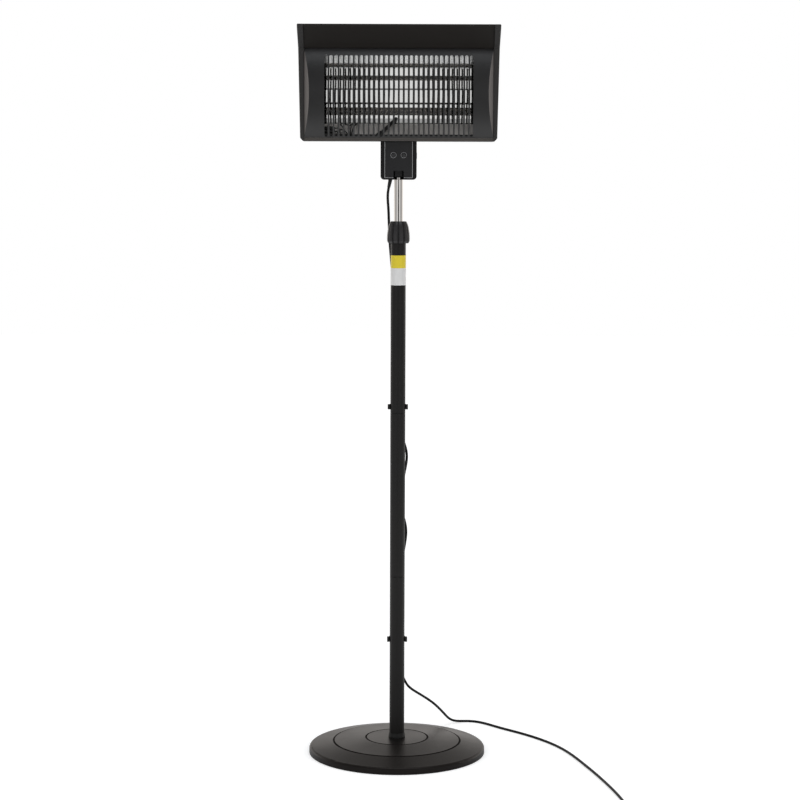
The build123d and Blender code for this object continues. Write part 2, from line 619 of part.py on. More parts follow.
with BuildPart() as end_cap_left:
    add(mirror(end_cap_right.part, about=Plane.YZ))
save(end_cap_left, "end_cap_left")

# Pan-headed screws that hold the end caps.
with BuildPart() as cap_screws:
    for side in (1, -1):
        for screw_y, screw_z in CAP_SCREWS:
            seat_x = CAP_HALF_W[0] + cap_lean * (screw_z - HEAD_Z) - SEAT_DEPTH
            with BuildSketch(Plane.YZ.offset(side * seat_x)):
                with Locations((screw_y, screw_z)):
                    Circle(4.2)
            extrude(amount=side * 2.0)
            with BuildSketch(Plane.YZ.offset(side * (HEAD_HALF_W - 6))):
                with Locations((screw_y, screw_z)):
                    Circle(SCREW_R)
            extrude(amount=side * (seat_x - HEAD_HALF_W + 6))
save(cap_screws, "cap_screws")

# Bulged grille: a sheet curved from its lower to its upper edge, slanted ends, thirty long slots.
grille_mid_z = (GRILLE_Z[0] + GRILLE_Z[1]) / 2
grille_half_h = (GRILLE_Z[1] - GRILLE_Z[0]) / 2
grille_arc_r = (grille_half_h**2 + GRILLE_RISE**2) / (2 * GRILLE_RISE)


def grille_block(inset):
    """The bulged block that the grille's sheet wraps, drawn in on every side but its back."""
    arc_r = grille_arc_r - inset
    half_h = sqrt(arc_r**2 - (grille_arc_r - GRILLE_RISE) ** 2)
    end_x = HEAD_HALF_W - inset
    with BuildPart() as block:
        with BuildSketch(Plane.YZ):
            with BuildLine():
                ThreePointArc(
                    (HEAD_FRONT_Y, grille_mid_z - half_h), (HEAD_FRONT_Y - GRILLE_RISE + inset, grille_mid_z),
                    (HEAD_FRONT_Y, grille_mid_z + half_h),
                )
                Line((HEAD_FRONT_Y, grille_mid_z + half_h), (HEAD_FRONT_Y, grille_mid_z - half_h))
            make_face()
        extrude(amount=end_x, both=True)
        for side in (1, -1):
            slant = Plane(origin=(side * end_x, HEAD_FRONT_Y, 0), z_dir=(side * GRILLE_RISE, -GRILLE_END, 0))
            split(bisect_by=slant, keep=Keep.BOTTOM)
    return block.part


grille_outer = grille_block(0)
grille_inner = grille_block(SHEET_T)
with BuildPart() as grille:
    add(grille_outer)
    add(grille_inner, mode=Mode.SUBTRACT)
    with BuildSketch(Plane.XZ.offset(-HEAD_FRONT_Y)):
        with Locations((0, (SLOT_Z[0] + SLOT_Z[1]) / 2)):
            with GridLocations(SLOT_PITCH, 0, SLOTS, 1):
                SlotOverall(SLOT_Z[1] - SLOT_Z[0], SLOT_W, rotation=90)
    extrude(amount=2 * GRILLE_RISE, mode=Mode.SUBTRACT)
save(grille, "grille")

# Folded reflector: a trough round each lamp, a flat land between them, and flanges to roof and floor.
REFLECTOR_T = 0.8
REFLECTOR_HALF_W = 226.0
REFLECTOR_LINE = (
    (-40, 1783), (2, 1757), (20, 1745), (26, 1722), (20, 1699), (2, 1687),
    (2, 1653.7), (18, 1646), (24, 1628), (18, 1610), (2, 1602), (-40, 1574),
)
with BuildPart() as reflector:
    with BuildSketch(Plane.YZ):
        with BuildLine():
            Polyline(*REFLECTOR_LINE)
            offset(amount=REFLECTOR_T, side=Side.LEFT, kind=Kind.INTERSECTION)
        make_face()
        for flange_low, flange_high in ((1783, 1816), (HEAD_Z + SHEET_T, 1574)):
            with Locations((REFLECTOR_LINE[0][0] + REFLECTOR_T / 2, (flange_low + flange_high) / 2)):
                Rectangle(REFLECTOR_T, flange_high - flange_low)
    extrude(amount=REFLECTOR_HALF_W, both=True)
save(reflector, "reflector")

with BuildPart() as reflector_ends:
    for side in (1, -1):
        with BuildSketch(Plane.YZ.offset(side * REFLECTOR_HALF_W)):
            with BuildLine():
                Polyline(*REFLECTOR_LINE, close=True)
            make_face()
            with Locations(*[(LAMP_Y, lamp_z) for lamp_z in LAMP_Z]):
                Circle(7, mode=Mode.SUBTRACT)
        extrude(amount=side * 1.0)
save(reflector_ends, "reflector_ends")

# Quartz tube lamps with their heating wires, ceramic ends and spring holders.
for lamp_name, lamp_z in zip(("lower_lamp", "upper_lamp"), LAMP_Z):
    with BuildPart() as lamp:
        with BuildSketch(Plane.YZ):
            with Locations((LAMP_Y, lamp_z)):
                Circle(LAMP_R)
                Circle(LAMP_R - 1.1, mode=Mode.SUBTRACT)
        extrude(amount=LAMP_HALF, both=True)
    save(lamp, lamp_name)

with BuildPart() as filaments:
    for lamp_z in LAMP_Z:
        with BuildSketch(Plane.YZ):
            with Locations((LAMP_Y, lamp_z)):
                Circle(1.2)
        extrude(amount=LAMP_HALF, both=True)
save(filaments, "filaments")

LAMP_BASE_L = 24.0
with BuildPart() as lamp_bases:
    for side in (1, -1):
        with BuildSketch(Plane.YZ.offset(side * LAMP_HALF)):
            for lamp_z in LAMP_Z:
                with Locations((LAMP_Y, lamp_z)):
                    RectangleRounded(12, 13, 2)
        extrude(amount=side * LAMP_BASE_L)
save(lamp_bases, "lamp_bases")

with BuildPart() as lamp_holders:
    for side in (1, -1):
        with BuildSketch(Plane.YZ.offset(side * (LAMP_HALF + LAMP_BASE_L))):
            for lamp_z in LAMP_Z:
                with Locations((LAMP_Y, lamp_z)):
                    RectangleRounded(20, 26, 4)
        extrude(amount=side * (REFLECTOR_HALF_W - LAMP_HALF - LAMP_BASE_L))
save(lamp_holders, "lamp_holders")

# Terminal block on the back wall behind the reflector, over the neck.
BLOCK_Z, BLOCK_D, BLOCK_H = 1596.0, 16.0, 20.0
BLOCK_PLACE = (0, HEAD_BACK_Y - SHEET_T - BLOCK_D / 2)
with BuildPart() as terminal_block:
    with BuildSketch(Plane.XY.offset(BLOCK_Z)):
        with Locations(BLOCK_PLACE):
            RectangleRounded(44, BLOCK_D, 2)
    extrude(amount=BLOCK_H)
    with BuildSketch(Plane.XY.offset(BLOCK_Z + BLOCK_H)):
        with Locations(BLOCK_PLACE):
            with GridLocations(14, 0, 3, 1):
                Circle(3)
    extrude(amount=-12, mode=Mode.SUBTRACT)
save(terminal_block, "terminal_block")


# ================================================================= cord
def bend_radii(points):
    """The radius of each bend of a cord's route: as large as the two runs beside it allow."""
    radii = []
    for before, corner, after in zip(points, points[1:], points[2:]):
        run_in = Vector(*corner) - Vector(*before)
        run_out = Vector(*after) - Vector(*corner)
        half_turn = radians(run_in.get_angle(run_out)) / 2
        radii.append(ARC_SHARE * min(run_in.length, run_out.length) / tan(half_turn))
    return radii


def report_tube(name, part, length, radii):
    """Print a cord's tightest bend and compare its volume with its section times its length."""
    section = pi * CORD_R**2
    print(f"{name}: length {length:.0f}, tightest bend {min(radii):.0f}, all {[round(r) for r in radii]}")
    print(f"{name}: volume {part.volume:.0f}, section times length {section * length:.0f}")


# From the gland, past the collar and behind the pole to the upper clip.
UPPER_ROUTE = [
    (GLAND_TIP.X, GLAND_TIP.Y, GLAND_TIP.Z), (CORD_LEAVES.X, CORD_LEAVES.Y, CORD_LEAVES.Z),
    (-27.2, 20.4, 1415), (-25.2, 23.4, 1391), (-24.2, 26, 1362), (-23, 27.6, 1330), (-21, 27.8, 1296),
    (-17.2, 27, 1255), (-12, 26.2, 1200), (-7.2, 25.4, 1135), (-3.4, 25.1, 1060), (-1.3, 24.9, 995),
    (-0.3, 24.85, 945), (0, CORD_BACK_Y, 915), (0, CORD_BACK_Y, CLIP_Z[0]),
]
# Between the clips it is slack and bows out twice at the right of the pole.
POLE_ROUTE = [
    (0, CORD_BACK_Y, CLIP_Z[0]), (0, CORD_BACK_Y, 873), (2.6, 25.2, 847), (8.2, 25.6, 822),
    (15.4, 24.4, 800), (21.6, 21.8, 782), (23.8, 20.4, 762), (21.2, 21.7, 740), (15.4, 24.2, 712),
    (9.8, 25.5, 675), (9.2, 25.3, 641), (14, 24.2, 611), (20.6, 22, 589), (22.7, 21, 568),
    (20.6, 21.9, 546), (15, 24.2, 514), (9, 25.4, 468), (4.6, 25.4, 414), (1.2, 25.0, 362),
    (0, CORD_BACK_Y, 322), (0, CORD_BACK_Y, CLIP_Z[1]),
]
# From the lower clip it falls away to the floor behind the base, then runs to the right and forward.
FLOOR_ROUTE = [
    (0, CORD_BACK_Y, CLIP_Z[1]), (0, CORD_BACK_Y, 273), (1.2, 26.8, 247), (4.6, 31, 220),
    (11, 38, 196), (19.5, 49, 175), (27.5, 66, 157), (39, 91, 141), (56, 120, 123.5),
    (79, 153, 101.5), (99, 187, 79), (114, 219, 57), (127, 246, 37), (139, 269, 18.5),
    (153, 286.5, 7), (172, 296, FLOOR_Z), (194, 298.5, FLOOR_Z), (217, 291, FLOOR_Z),
    (238, 273, FLOOR_Z), (258, 249.5, FLOOR_Z), (279, 224, FLOOR_Z), (303, 199, FLOOR_Z),
    (332, 168, FLOOR_Z), (363, 130, FLOOR_Z), (393, 86, FLOOR_Z), (420, 36, FLOOR_Z),
    (441, -18, FLOOR_Z), (458, -76, FLOOR_Z), (474, -138, FLOOR_Z), (490, -202, FLOOR_Z),
    (505, -268, FLOOR_Z), (519, -335, FLOOR_Z), (531, -402, FLOOR_Z), (540, -466, FLOOR_Z),
    (545, -520, FLOOR_Z), (547, -553, FLOOR_Z),
]
for run_name, route_points in (
    ("cord_upper_run", UPPER_ROUTE), ("cord_pole_run", POLE_ROUTE), ("cord_floor_run", FLOOR_ROUTE)
):
    radii = bend_radii(route_points)
    with BuildPart() as cord_run:
        with BuildLine() as route:
            FilletPolyline(*route_points, radius=radii)
        path = route.wire()
        with BuildSketch(Plane(origin=path @ 0, z_dir=path % 0)):
            Circle(CORD_R)
        sweep(path=path)
    report_tube(run_name, cord_run.part, path.length, radii)
    save(cord_run, run_name)

# The rest of the lead is wound into a neat two-layer coil just past the end of the floor run: it spirals
# in along the floor, climbs a layer in a half turn, and spirals out again on top.
route_end = Vector(*FLOOR_ROUTE[-1])
route_way = (route_end - Vector(*FLOOR_ROUTE[-2])).normalized()
coil_start = route_end + route_way * CORD_D
coil_centre = coil_start - Vector(-route_way.Y, route_way.X, 0) * COIL_R
start_turn = 2 * COIL_LAYER_TURNS + 0.5
coil_inner_r = COIL_R - COIL_STEP * (COIL_LAYER_TURNS + 0.25)
PLUG_AXIS_Z = 13.2


def coil_point(turn):
    """The cord's centre after a number of turns, counted from the coil's start."""
    out_turn = start_turn - turn
    depth = min(turn, out_turn)
    climb = min(max(turn - COIL_LAYER_TURNS, 0) / 0.5, 1)
    last_rise = max(0, 1 - out_turn / 0.25) * (PLUG_AXIS_Z - FLOOR_Z - COIL_STEP)
    radius = COIL_R - COIL_STEP * depth
    height = COIL_STEP * (1 - cos(pi * climb)) / 2 + last_rise
    outward = Vector(-route_way.Y, route_way.X, 0)
    along = Vector(route_way.X, route_way.Y, 0)
    swing = 2 * pi * turn
    return coil_centre + outward * (radius * cos(swing)) + along * (radius * sin(swing)) + Vector(0, 0, height)


def coil_way(turn):
    """The direction of the cord there, level at the coil's two ends and where a climb starts or stops."""
    step = 1e-4
    way = (coil_point(turn + step) - coil_point(turn - step)).normalized()
    return Vector(way.X, way.Y, 0 if turn in LEVEL_TURNS else way.Z).normalized()


def biarc(start, start_way, end, end_way):
    """Two arcs that leave start along start_way, meet smoothly and reach end along end_way."""
    chord = end - start
    ways = start_way + end_way
    opening = 1 - start_way.dot(end_way)
    reach = (-chord.dot(ways) + sqrt(chord.dot(ways) ** 2 + 2 * opening * chord.dot(chord))) / (2 * opening)
    leave, arrive = start + start_way * reach, end - end_way * reach
    meeting = (leave + arrive) * 0.5
    TangentArc(start, meeting, tangent=start_way)
    TangentArc(meeting, end, tangent=arrive - leave)


PARTS_PER_LAYER = 10
layer_turns = [COIL_LAYER_TURNS * i / PARTS_PER_LAYER for i in range(PARTS_PER_LAYER + 1)]
climb_turns = [COIL_LAYER_TURNS + 0.25, COIL_LAYER_TURNS + 0.5]
upper_turns = [COIL_LAYER_TURNS + 0.5 + turn for turn in layer_turns[1:]]
coil_turns = layer_turns + climb_turns + upper_turns
LEVEL_TURNS = (coil_turns[0], COIL_LAYER_TURNS, COIL_LAYER_TURNS + 0.5, coil_turns[-1])
coil_places = [coil_point(turn) for turn in coil_turns]
coil_ways = [route_way] + [coil_way(turn) for turn in coil_turns[1:-1]] + [coil_way(coil_turns[-1] - 1e-3)]
coil_ways[-1] = Vector(coil_ways[-1].X, coil_ways[-1].Y, 0).normalized()
coil_end = coil_places[-1] + coil_ways[-1] * CORD_D
with BuildPart() as cord_coil:
    with BuildLine() as coil_line:
        Line(route_end, coil_places[0])
        for i in range(len(coil_turns) - 1):
            biarc(coil_places[i], coil_ways[i], coil_places[i + 1], coil_ways[i + 1])
        Line(coil_places[-1], coil_end)
    coil_path = coil_line.wire()
    with BuildSketch(Plane(origin=route_end, z_dir=route_way)):
        Circle(CORD_R)
    sweep(path=coil_path)
report_tube("cord_coil", cord_coil.part, coil_path.length, [coil_inner_r, COIL_R])
SAMPLES = 1200
coil_samples = [coil_path @ (i / SAMPLES) for i in range(SAMPLES + 1)]
near = int(3 * CORD_D / coil_path.length * SAMPLES)
least_gap = min(
    (coil_samples[i] - coil_samples[j]).length
    for i in range(0, SAMPLES + 1, 2)
    for j in range(i + near, SAMPLES + 1, 2)
) - CORD_D
print(f"cord_coil: {start_turn:.2f} turns, least gap to itself {least_gap:.2f}")
save(cord_coil, "cord_coil")

# Moulded plug with two round pins, lying beside the coil.
PLUG_TAIL, PLUG_TAPER, PLUG_BODY = 30.0, 22.0, 36.0
plug_way = coil_ways[-1]
body_start = coil_end + plug_way * PLUG_TAIL
grip_start = body_start + plug_way * PLUG_TAPER
plug_side = Vector(-plug_way.Y, plug_way.X, 0)
with BuildPart() as plug_body:
    with BuildSketch(Plane(origin=coil_end, x_dir=plug_side, z_dir=plug_way)):
        Circle(4.6)
    with BuildSketch(Plane(origin=body_start, x_dir=plug_side, z_dir=plug_way)):
        Circle(7.5)
    loft()
    with BuildSketch(Plane(origin=body_start, x_dir=plug_side, z_dir=plug_way)):
        RectangleRounded(28, 20, 9)
    with BuildSketch(Plane(origin=grip_start, x_dir=plug_side, z_dir=plug_way)):
        RectangleRounded(36, 26, 12)
    loft()
    with BuildSketch(Plane(origin=grip_start, x_dir=plug_side, z_dir=plug_way)):
        RectangleRounded(36, 26, 12)
    extrude(amount=PLUG_BODY - PLUG_TAPER)
save(plug_body, "plug_body")

with BuildPart() as plug_pins:
    with BuildSketch(Plane(origin=body_start + plug_way * PLUG_BODY, x_dir=plug_side, z_dir=plug_way)):
        with Locations((-9.5, 0), (9.5, 0)):
            Circle(2.4)
    extrude(amount=19)
    chamfer(plug_pins.faces().group_by(Axis.X)[0].edges(), length=0.8)
save(plug_pins, "plug_pins")
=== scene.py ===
from math import cos, pi, radians, sin

import bmesh
import bpy
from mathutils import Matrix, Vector


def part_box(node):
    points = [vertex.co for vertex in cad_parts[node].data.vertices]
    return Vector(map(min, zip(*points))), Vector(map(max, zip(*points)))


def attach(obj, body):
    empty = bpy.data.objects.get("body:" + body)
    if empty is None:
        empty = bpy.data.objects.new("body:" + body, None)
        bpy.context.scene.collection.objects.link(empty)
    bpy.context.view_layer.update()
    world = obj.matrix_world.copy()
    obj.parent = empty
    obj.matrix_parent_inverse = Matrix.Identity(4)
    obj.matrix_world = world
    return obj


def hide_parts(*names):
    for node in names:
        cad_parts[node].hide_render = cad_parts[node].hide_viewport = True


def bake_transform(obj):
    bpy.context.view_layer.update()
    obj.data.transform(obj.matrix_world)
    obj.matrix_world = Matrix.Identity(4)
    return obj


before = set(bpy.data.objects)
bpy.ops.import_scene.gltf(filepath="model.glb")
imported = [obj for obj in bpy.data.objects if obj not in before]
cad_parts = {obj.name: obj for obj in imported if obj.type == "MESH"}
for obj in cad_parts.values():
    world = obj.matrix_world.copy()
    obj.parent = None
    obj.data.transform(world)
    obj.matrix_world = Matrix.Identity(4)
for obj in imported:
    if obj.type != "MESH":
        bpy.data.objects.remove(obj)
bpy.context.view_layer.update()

# ---------------------------------------------------------------- camera
# A long lens straight in front, at the height of the heater's neck box, as a product photographer sets it:
# far enough back that the tall pole stays straight, tipped down so that the round base shows its top.
SENSOR_MM = 36.0
LENS_MM = 97.47
CAMERA_PLACE = (0.0035, -5.454, 1.489)
CAMERA_TIP = radians(83.94)
CAMERA_ROLL = radians(-0.19)
camera = bpy.data.objects.new("camera", bpy.data.cameras.new("camera"))
bpy.context.collection.objects.link(camera)
camera.data.sensor_width = SENSOR_MM
camera.data.lens = LENS_MM
camera.location = CAMERA_PLACE
camera.rotation_euler = (CAMERA_TIP, CAMERA_ROLL, 0.0)
bpy.context.scene.camera = camera
bpy.context.scene.view_settings.view_transform = "Standard"


# ---------------------------------------------------------------- studio
# A white sweep of floor and room with one broad light overhead and one at each side. What shows in a gloss
# is brighter in some directions than in others, and a black card behind the camera draws the dark line
# down the bright tube.
def feed(tree, node, inputs):
    """Feeds each named input of a node from a socket, or sets it to a plain value."""
    for name, value in inputs.items():
        if isinstance(value, bpy.types.NodeSocket):
            tree.links.new(value, node.inputs[name])
        else:
            node.inputs[name].default_value = value


def add_node(tree, kind, inputs=None, **settings):
    """A new node of this kind in a tree, with its settings made and its inputs fed."""
    node = tree.nodes.new(kind)
    for setting, value in settings.items():
        setattr(node, setting, value)
    feed(tree, node, inputs or {})
    return node


def maths(tree, operation, *values):
    """The result of a Math node on sockets or plain numbers."""
    return add_node(tree, "ShaderNodeMath", dict(enumerate(values)), operation=operation).outputs[0]


def between(tree, share, low, high, start=0.0, end=1.0):
    """A value that goes from low to high as share goes from start to end; low and high may be sockets."""
    return add_node(tree, "ShaderNodeMapRange", {
        "Value": share, "From Min": start, "From Max": end, "To Min": low, "To Max": high,
    }).outputs["Result"]


def mixed(tree, share, first, second):
    """A colour that goes from the first to the second as share goes from 0 to 1."""
    mix = add_node(tree, "ShaderNodeMix", data_type="RGBA")
    feed(tree, mix, {"Factor": share, "A": first, "B": second})
    return mix.outputs["Result"]


def stepped(tree, share, steps):
    """A grey strength that follows steps of share and strength, and is even between them."""
    ramp = add_node(tree, "ShaderNodeValToRGB", {"Fac": share})
    elements = ramp.color_ramp.elements
    for index, (place, strength) in enumerate(steps):
        element = elements[index] if index < 2 else elements.new(place)
        element.position = place
        element.color = (strength, strength, strength, 1.0)
    return ramp.outputs["Color"]


def by_ray(tree, lighting, seen, mirrored):
    """One strength for light that falls on things, one for what is seen, one for what shows in a gloss."""
    path = add_node(tree, "ShaderNodeLightPath").outputs
    direct = maths(tree, "MAXIMUM", path["Is Camera Ray"], path["Is Transmission Ray"])
    plain = between(tree, direct, lighting, seen)
    return between(tree, path["Is Glossy Ray"], plain, mirrored)


def stage_card(name, corners, material):
    """A flat card of the studio, which is no part of the heater."""
    data = bpy.data.meshes.new(name)
    data.from_pydata(corners, [], [tuple(range(len(corners)))])
    data.materials.append(material)
    card = bpy.data.objects.new(name, data)
    bpy.context.collection.objects.link(card)
    return card


def new_material(name, base_color, roughness=0.5, metallic=0.0, specular=0.5):
    """A material with one Principled shader; returns the material, its node tree and the shader."""
    material = bpy.data.materials.new(name)
    material.use_nodes = True
    material.diffuse_color = (*base_color, 1.0)
    tree = material.node_tree
    shader = tree.nodes["Principled BSDF"]
    feed(tree, shader, {
        "Base Color": (*base_color, 1.0), "Roughness": roughness, "Metallic": metallic,
        "Specular IOR Level": specular,
    })
    return material, tree, shader


def grey(level):
    return (level, level, level)


FLOOR_HALF = 14.0
FLOOR_WHITE = (*grey(0.80), 1.0)
FLOOR_REACH = 10.0
# Steps of the floor's own strength: a share of that reach from the heater's foot, and the strength there.
FLOOR_SEEN = ((0.0, 0.40), (0.045, 0.43), (0.12, 0.50), (0.40, 0.72), (1.0, 0.72))
FLOOR_MIRRORED = ((0.0, 0.0), (0.10, 0.0), (0.125, 0.90), (0.19, 0.90), (0.30, 0.20), (1.0, 0.20))
floor_paint = bpy.data.materials.new("studio_floor")
floor_paint.use_nodes = True
floor = floor_paint.node_tree
floor.nodes.remove(floor.nodes["Principled BSDF"])
floor_place = add_node(floor, "ShaderNodeTexCoord").outputs["Object"]
from_foot = add_node(floor, "ShaderNodeVectorMath", {0: floor_place}, operation="LENGTH").outputs["Value"]
away = maths(floor, "DIVIDE", from_foot, FLOOR_REACH)
floor_strength = by_ray(floor, 0.0, stepped(floor, away, FLOOR_SEEN), stepped(floor, away, FLOOR_MIRRORED))
floor_shade = add_node(floor, "ShaderNodeBsdfDiffuse", {"Color": FLOOR_WHITE})
floor_glow = add_node(floor, "ShaderNodeEmission", {"Strength": floor_strength})
floor_both = add_node(floor, "ShaderNodeAddShader", {0: floor_shade.outputs[0], 1: floor_glow.outputs[0]})
feed(floor, floor.nodes["Material Output"], {"Surface": floor_both.outputs[0]})
stage_card("studio_floor", [
    (-FLOOR_HALF, -FLOOR_HALF, 0), (FLOOR_HALF, -FLOOR_HALF, 0), (FLOOR_HALF, FLOOR_HALF, 0),
    (-FLOOR_HALF, FLOOR_HALF, 0),
], floor_paint)

FLAG_Y = -6.6
FLAG_HALF_W = 1.4
FLAG_LOW, FLAG_HIGH = 1.06, 1.47
black_paper = new_material("studio_black_paper", grey(0.003), roughness=1.0, specular=0.0)[0]
flag = stage_card("studio_flag", [
    (-FLAG_HALF_W, FLAG_Y, FLAG_LOW), (FLAG_HALF_W, FLAG_Y, FLAG_LOW), (FLAG_HALF_W, FLAG_Y, FLAG_HIGH),
    (-FLAG_HALF_W, FLAG_Y, FLAG_HIGH),
], black_paper)
flag.visible_camera = False
flag.visible_diffuse = False
flag.visible_shadow = False

# Steps round the room, from straight in front of the heater, 0, to straight behind it, 1.
ROOM_STEPS = (
    (0.0, 0.39), (0.08, 0.40), (0.12, 0.70), (0.20, 0.70), (0.30, 0.36),
    (0.55, 0.36), (0.66, 0.90), (0.74, 0.90), (0.84, 0.64), (1.0, 0.64),
)
# Steps from level, 0, to straight up, 1.
HEIGHTS_BEHIND = ((0.12, 1.0), (0.26, 0.90), (0.40, 0.48), (0.80, 0.35))
HEIGHTS_IN_FRONT = ((0.05, 1.0), (0.30, 0.50), (0.80, 0.30))
FRONT_BLEND = 0.35
MIRROR_GAIN = 2.0
ROOM_LIGHT = 0.45
WHITE = (1.0, 1.0, 1.0, 1.0)
WARM_WHITE = (1.0, 0.955, 0.915, 1.0)
world = bpy.data.worlds.new("studio")
bpy.context.scene.world = world
world.use_nodes = True
room = world.node_tree
room_place = add_node(room, "ShaderNodeTexCoord").outputs["Generated"]
gaze = add_node(room, "ShaderNodeSeparateXYZ", {0: room_place}).outputs
toward = maths(room, "MULTIPLY", gaze["Y"], -1.0)
swing = maths(room, "DIVIDE", maths(room, "ARCTAN2", maths(room, "ABSOLUTE", gaze["X"]), toward), pi)
in_front = between(room, toward, 0.0, 1.0, end=FRONT_BLEND)
shaded = between(
    room, in_front, stepped(room, gaze["Z"], HEIGHTS_BEHIND), stepped(room, gaze["Z"], HEIGHTS_IN_FRONT),
)
room_mirrored = maths(room, "MULTIPLY", stepped(room, swing, ROOM_STEPS), shaded)
room_mirrored = maths(room, "MULTIPLY", room_mirrored, MIRROR_GAIN)
in_gloss = add_node(room, "ShaderNodeLightPath").outputs["Is Glossy Ray"]
gloss_behind = maths(room, "MULTIPLY", in_gloss, maths(room, "SUBTRACT", 1.0, in_front))
feed(room, room.nodes["Background"], {
    "Color": mixed(room, gloss_behind, WHITE, WARM_WHITE),
    "Strength": by_ray(room, ROOM_LIGHT, 1.0, room_mirrored),
})


def soft_light(name, place, aim, size, watts, tint):
    """A rectangular studio light that points at a place."""
    data = bpy.data.lights.new(name, "AREA")
    data.shape = "RECTANGLE"
    data.size, data.size_y = size
    data.energy = watts
    data.color = tint
    light = bpy.data.objects.new(name, data)
    bpy.context.collection.objects.link(light)
    light.location = place
    light.rotation_euler = (Vector(aim) - Vector(place)).to_track_quat("-Z", "Y").to_euler()
    return light


soft_light(
    "light_overhead", place=(0.2, -0.9, 4.3), aim=(0, 0, 0.9), size=(3.2, 3.0), watts=60,
    tint=(0.93, 0.96, 1.0),
)
for side, side_name in ((-1, "left"), (1, "right")):
    side_light = soft_light(
        "light_" + side_name, place=(side * 3.2, -2.4, 1.9), aim=(0, 0, 1.0), size=(1.2, 2.6), watts=40,
        tint=(1.0, 0.99, 0.97),
    )
    side_light.visible_glossy = False


# ---------------------------------------------------------------- mains lead
# Round three-core rubber lead, 6.5 mm across. It leaves the neck box through a tapered gland, hangs past
# the collar, is held behind the pole by two clips, and runs away over the floor to a coil and its plug.
def shade_group(name, inputs, outputs):
    """An empty shader node group with named float sockets; returns it, its inputs and its end."""
    group = bpy.data.node_groups.new(name, "ShaderNodeTree")
    for socket, value in inputs.items():
        made = group.interface.new_socket(socket, in_out="INPUT", socket_type="NodeSocketFloat")
        made.default_value = value
    for socket in outputs:
        group.interface.new_socket(socket, in_out="OUTPUT", socket_type="NodeSocketFloat")
    return group, group.nodes.new("NodeGroupInput").outputs, group.nodes.new("NodeGroupOutput")


def grain_group():
    """Fine surface grain of mouldings and paint: a height, and a slow patchiness from 0 to 1."""
    group, given, result = shade_group(
        "surface_grain", {"Grain size": 900.0, "Patch size": 9.0}, ("Height", "Patches"),
    )
    place = add_node(group, "ShaderNodeTexCoord").outputs["Object"]
    fine = add_node(group, "ShaderNodeTexNoise", {
        "Vector": place, "Scale": given["Grain size"], "Detail": 2.0,
    })
    coarse = add_node(group, "ShaderNodeTexNoise", {
        "Vector": place, "Scale": given["Patch size"], "Detail": 4.0, "Roughness": 0.6,
    })
    feed(group, result, {"Height": fine.outputs["Fac"], "Patches": coarse.outputs["Fac"]})
    return group


# A noise stays mostly between these two values, so a roughness that follows it is spread over them.
NOISE_LOW, NOISE_HIGH = 0.3, 0.7
GRAIN_RISE = 0.0004


def grained(name, dark, light, roughness, specular=0.5, grain=900.0, depth=0.08, patch=9.0, metallic=0.0):
    """A plain finish that varies slowly between two colours and roughnesses over a fine raised grain."""
    material, tree, shader = new_material(name, light, roughness[0], metallic, specular)
    surface = add_node(
        tree, "ShaderNodeGroup", {"Grain size": grain, "Patch size": patch},
        node_tree=bpy.data.node_groups.get("surface_grain") or grain_group(),
    ).outputs
    bump = add_node(tree, "ShaderNodeBump", {
        "Strength": depth, "Distance": GRAIN_RISE, "Height": surface["Height"],
    })
    feed(tree, shader, {
        "Base Color": mixed(tree, surface["Patches"], (*dark, 1.0), (*light, 1.0)),
        "Roughness": between(tree, surface["Patches"], *roughness, NOISE_LOW, NOISE_HIGH),
        "Normal": bump.outputs["Normal"],
    })
    return material


LEAD_D = 0.0065
LEAD_ON_FLOOR_Z = 0.00335
PLUG_AXIS_Z = 0.0132
lead_rubber = grained(
    "lead_rubber", grey(0.0025), grey(0.006), roughness=(0.45, 0.58), specular=0.14, grain=1400, depth=0.10,
)


def line_curve(name, points, thickness, material):
    """A smooth NURBS line with these control points, as thick as told."""
    data = bpy.data.curves.new(name, "CURVE")
    data.dimensions = "3D"
    spline = data.splines.new("NURBS")
    spline.points.add(len(points) - 1)
    for knot, place in zip(spline.points, points):
        knot.co = (*place, 1.0)
    spline.order_u = 3
    spline.use_endpoint_u = True
    spline.resolution_u = 8
    data.bevel_depth = thickness / 2
    data.bevel_resolution = 4
    data.use_fill_caps = True
    data.materials.append(material)
    curve = bpy.data.objects.new(name, data)
    bpy.context.collection.objects.link(curve)
    return curve


def in_metres(points):
    return [tuple(v / 1000 for v in point) for point in points]


upper_route = in_metres([
    (-24.6, 16.4, 1445.6), (-27.0, 17.9, 1433.9), (-27.2, 20.4, 1415), (-25.2, 23.4, 1391),
    (-24.2, 26, 1362), (-23, 27.8, 1330), (-21, 28.6, 1296), (-17.2, 30.2, 1255), (-12.4, 32.0, 1200),
    (-9.0, 32.0, 1155), (-5.6, 29.6, 1105), (-3.2, 26.6, 1050), (-1.3, 25.0, 995), (-0.3, 24.85, 945),
    (0, 24.75, 915), (0, 24.75, 893),
])
pole_route = in_metres([
    (0, 24.75, 893), (0, 24.75, 873), (2.6, 25.2, 847), (8.2, 25.6, 822), (15.4, 24.4, 800),
    (21.6, 21.8, 782), (23.8, 20.4, 762), (21.2, 21.7, 740), (15.4, 24.2, 712), (9.8, 25.5, 675),
    (9.2, 25.3, 641), (14, 24.2, 611), (20.6, 22, 589), (22.7, 21, 568), (20.6, 21.9, 546),
    (15, 24.2, 514), (9, 25.4, 468), (4.6, 25.4, 414), (1.2, 25.0, 362), (0, 24.75, 322),
    (0, 24.75, 294.5),
])
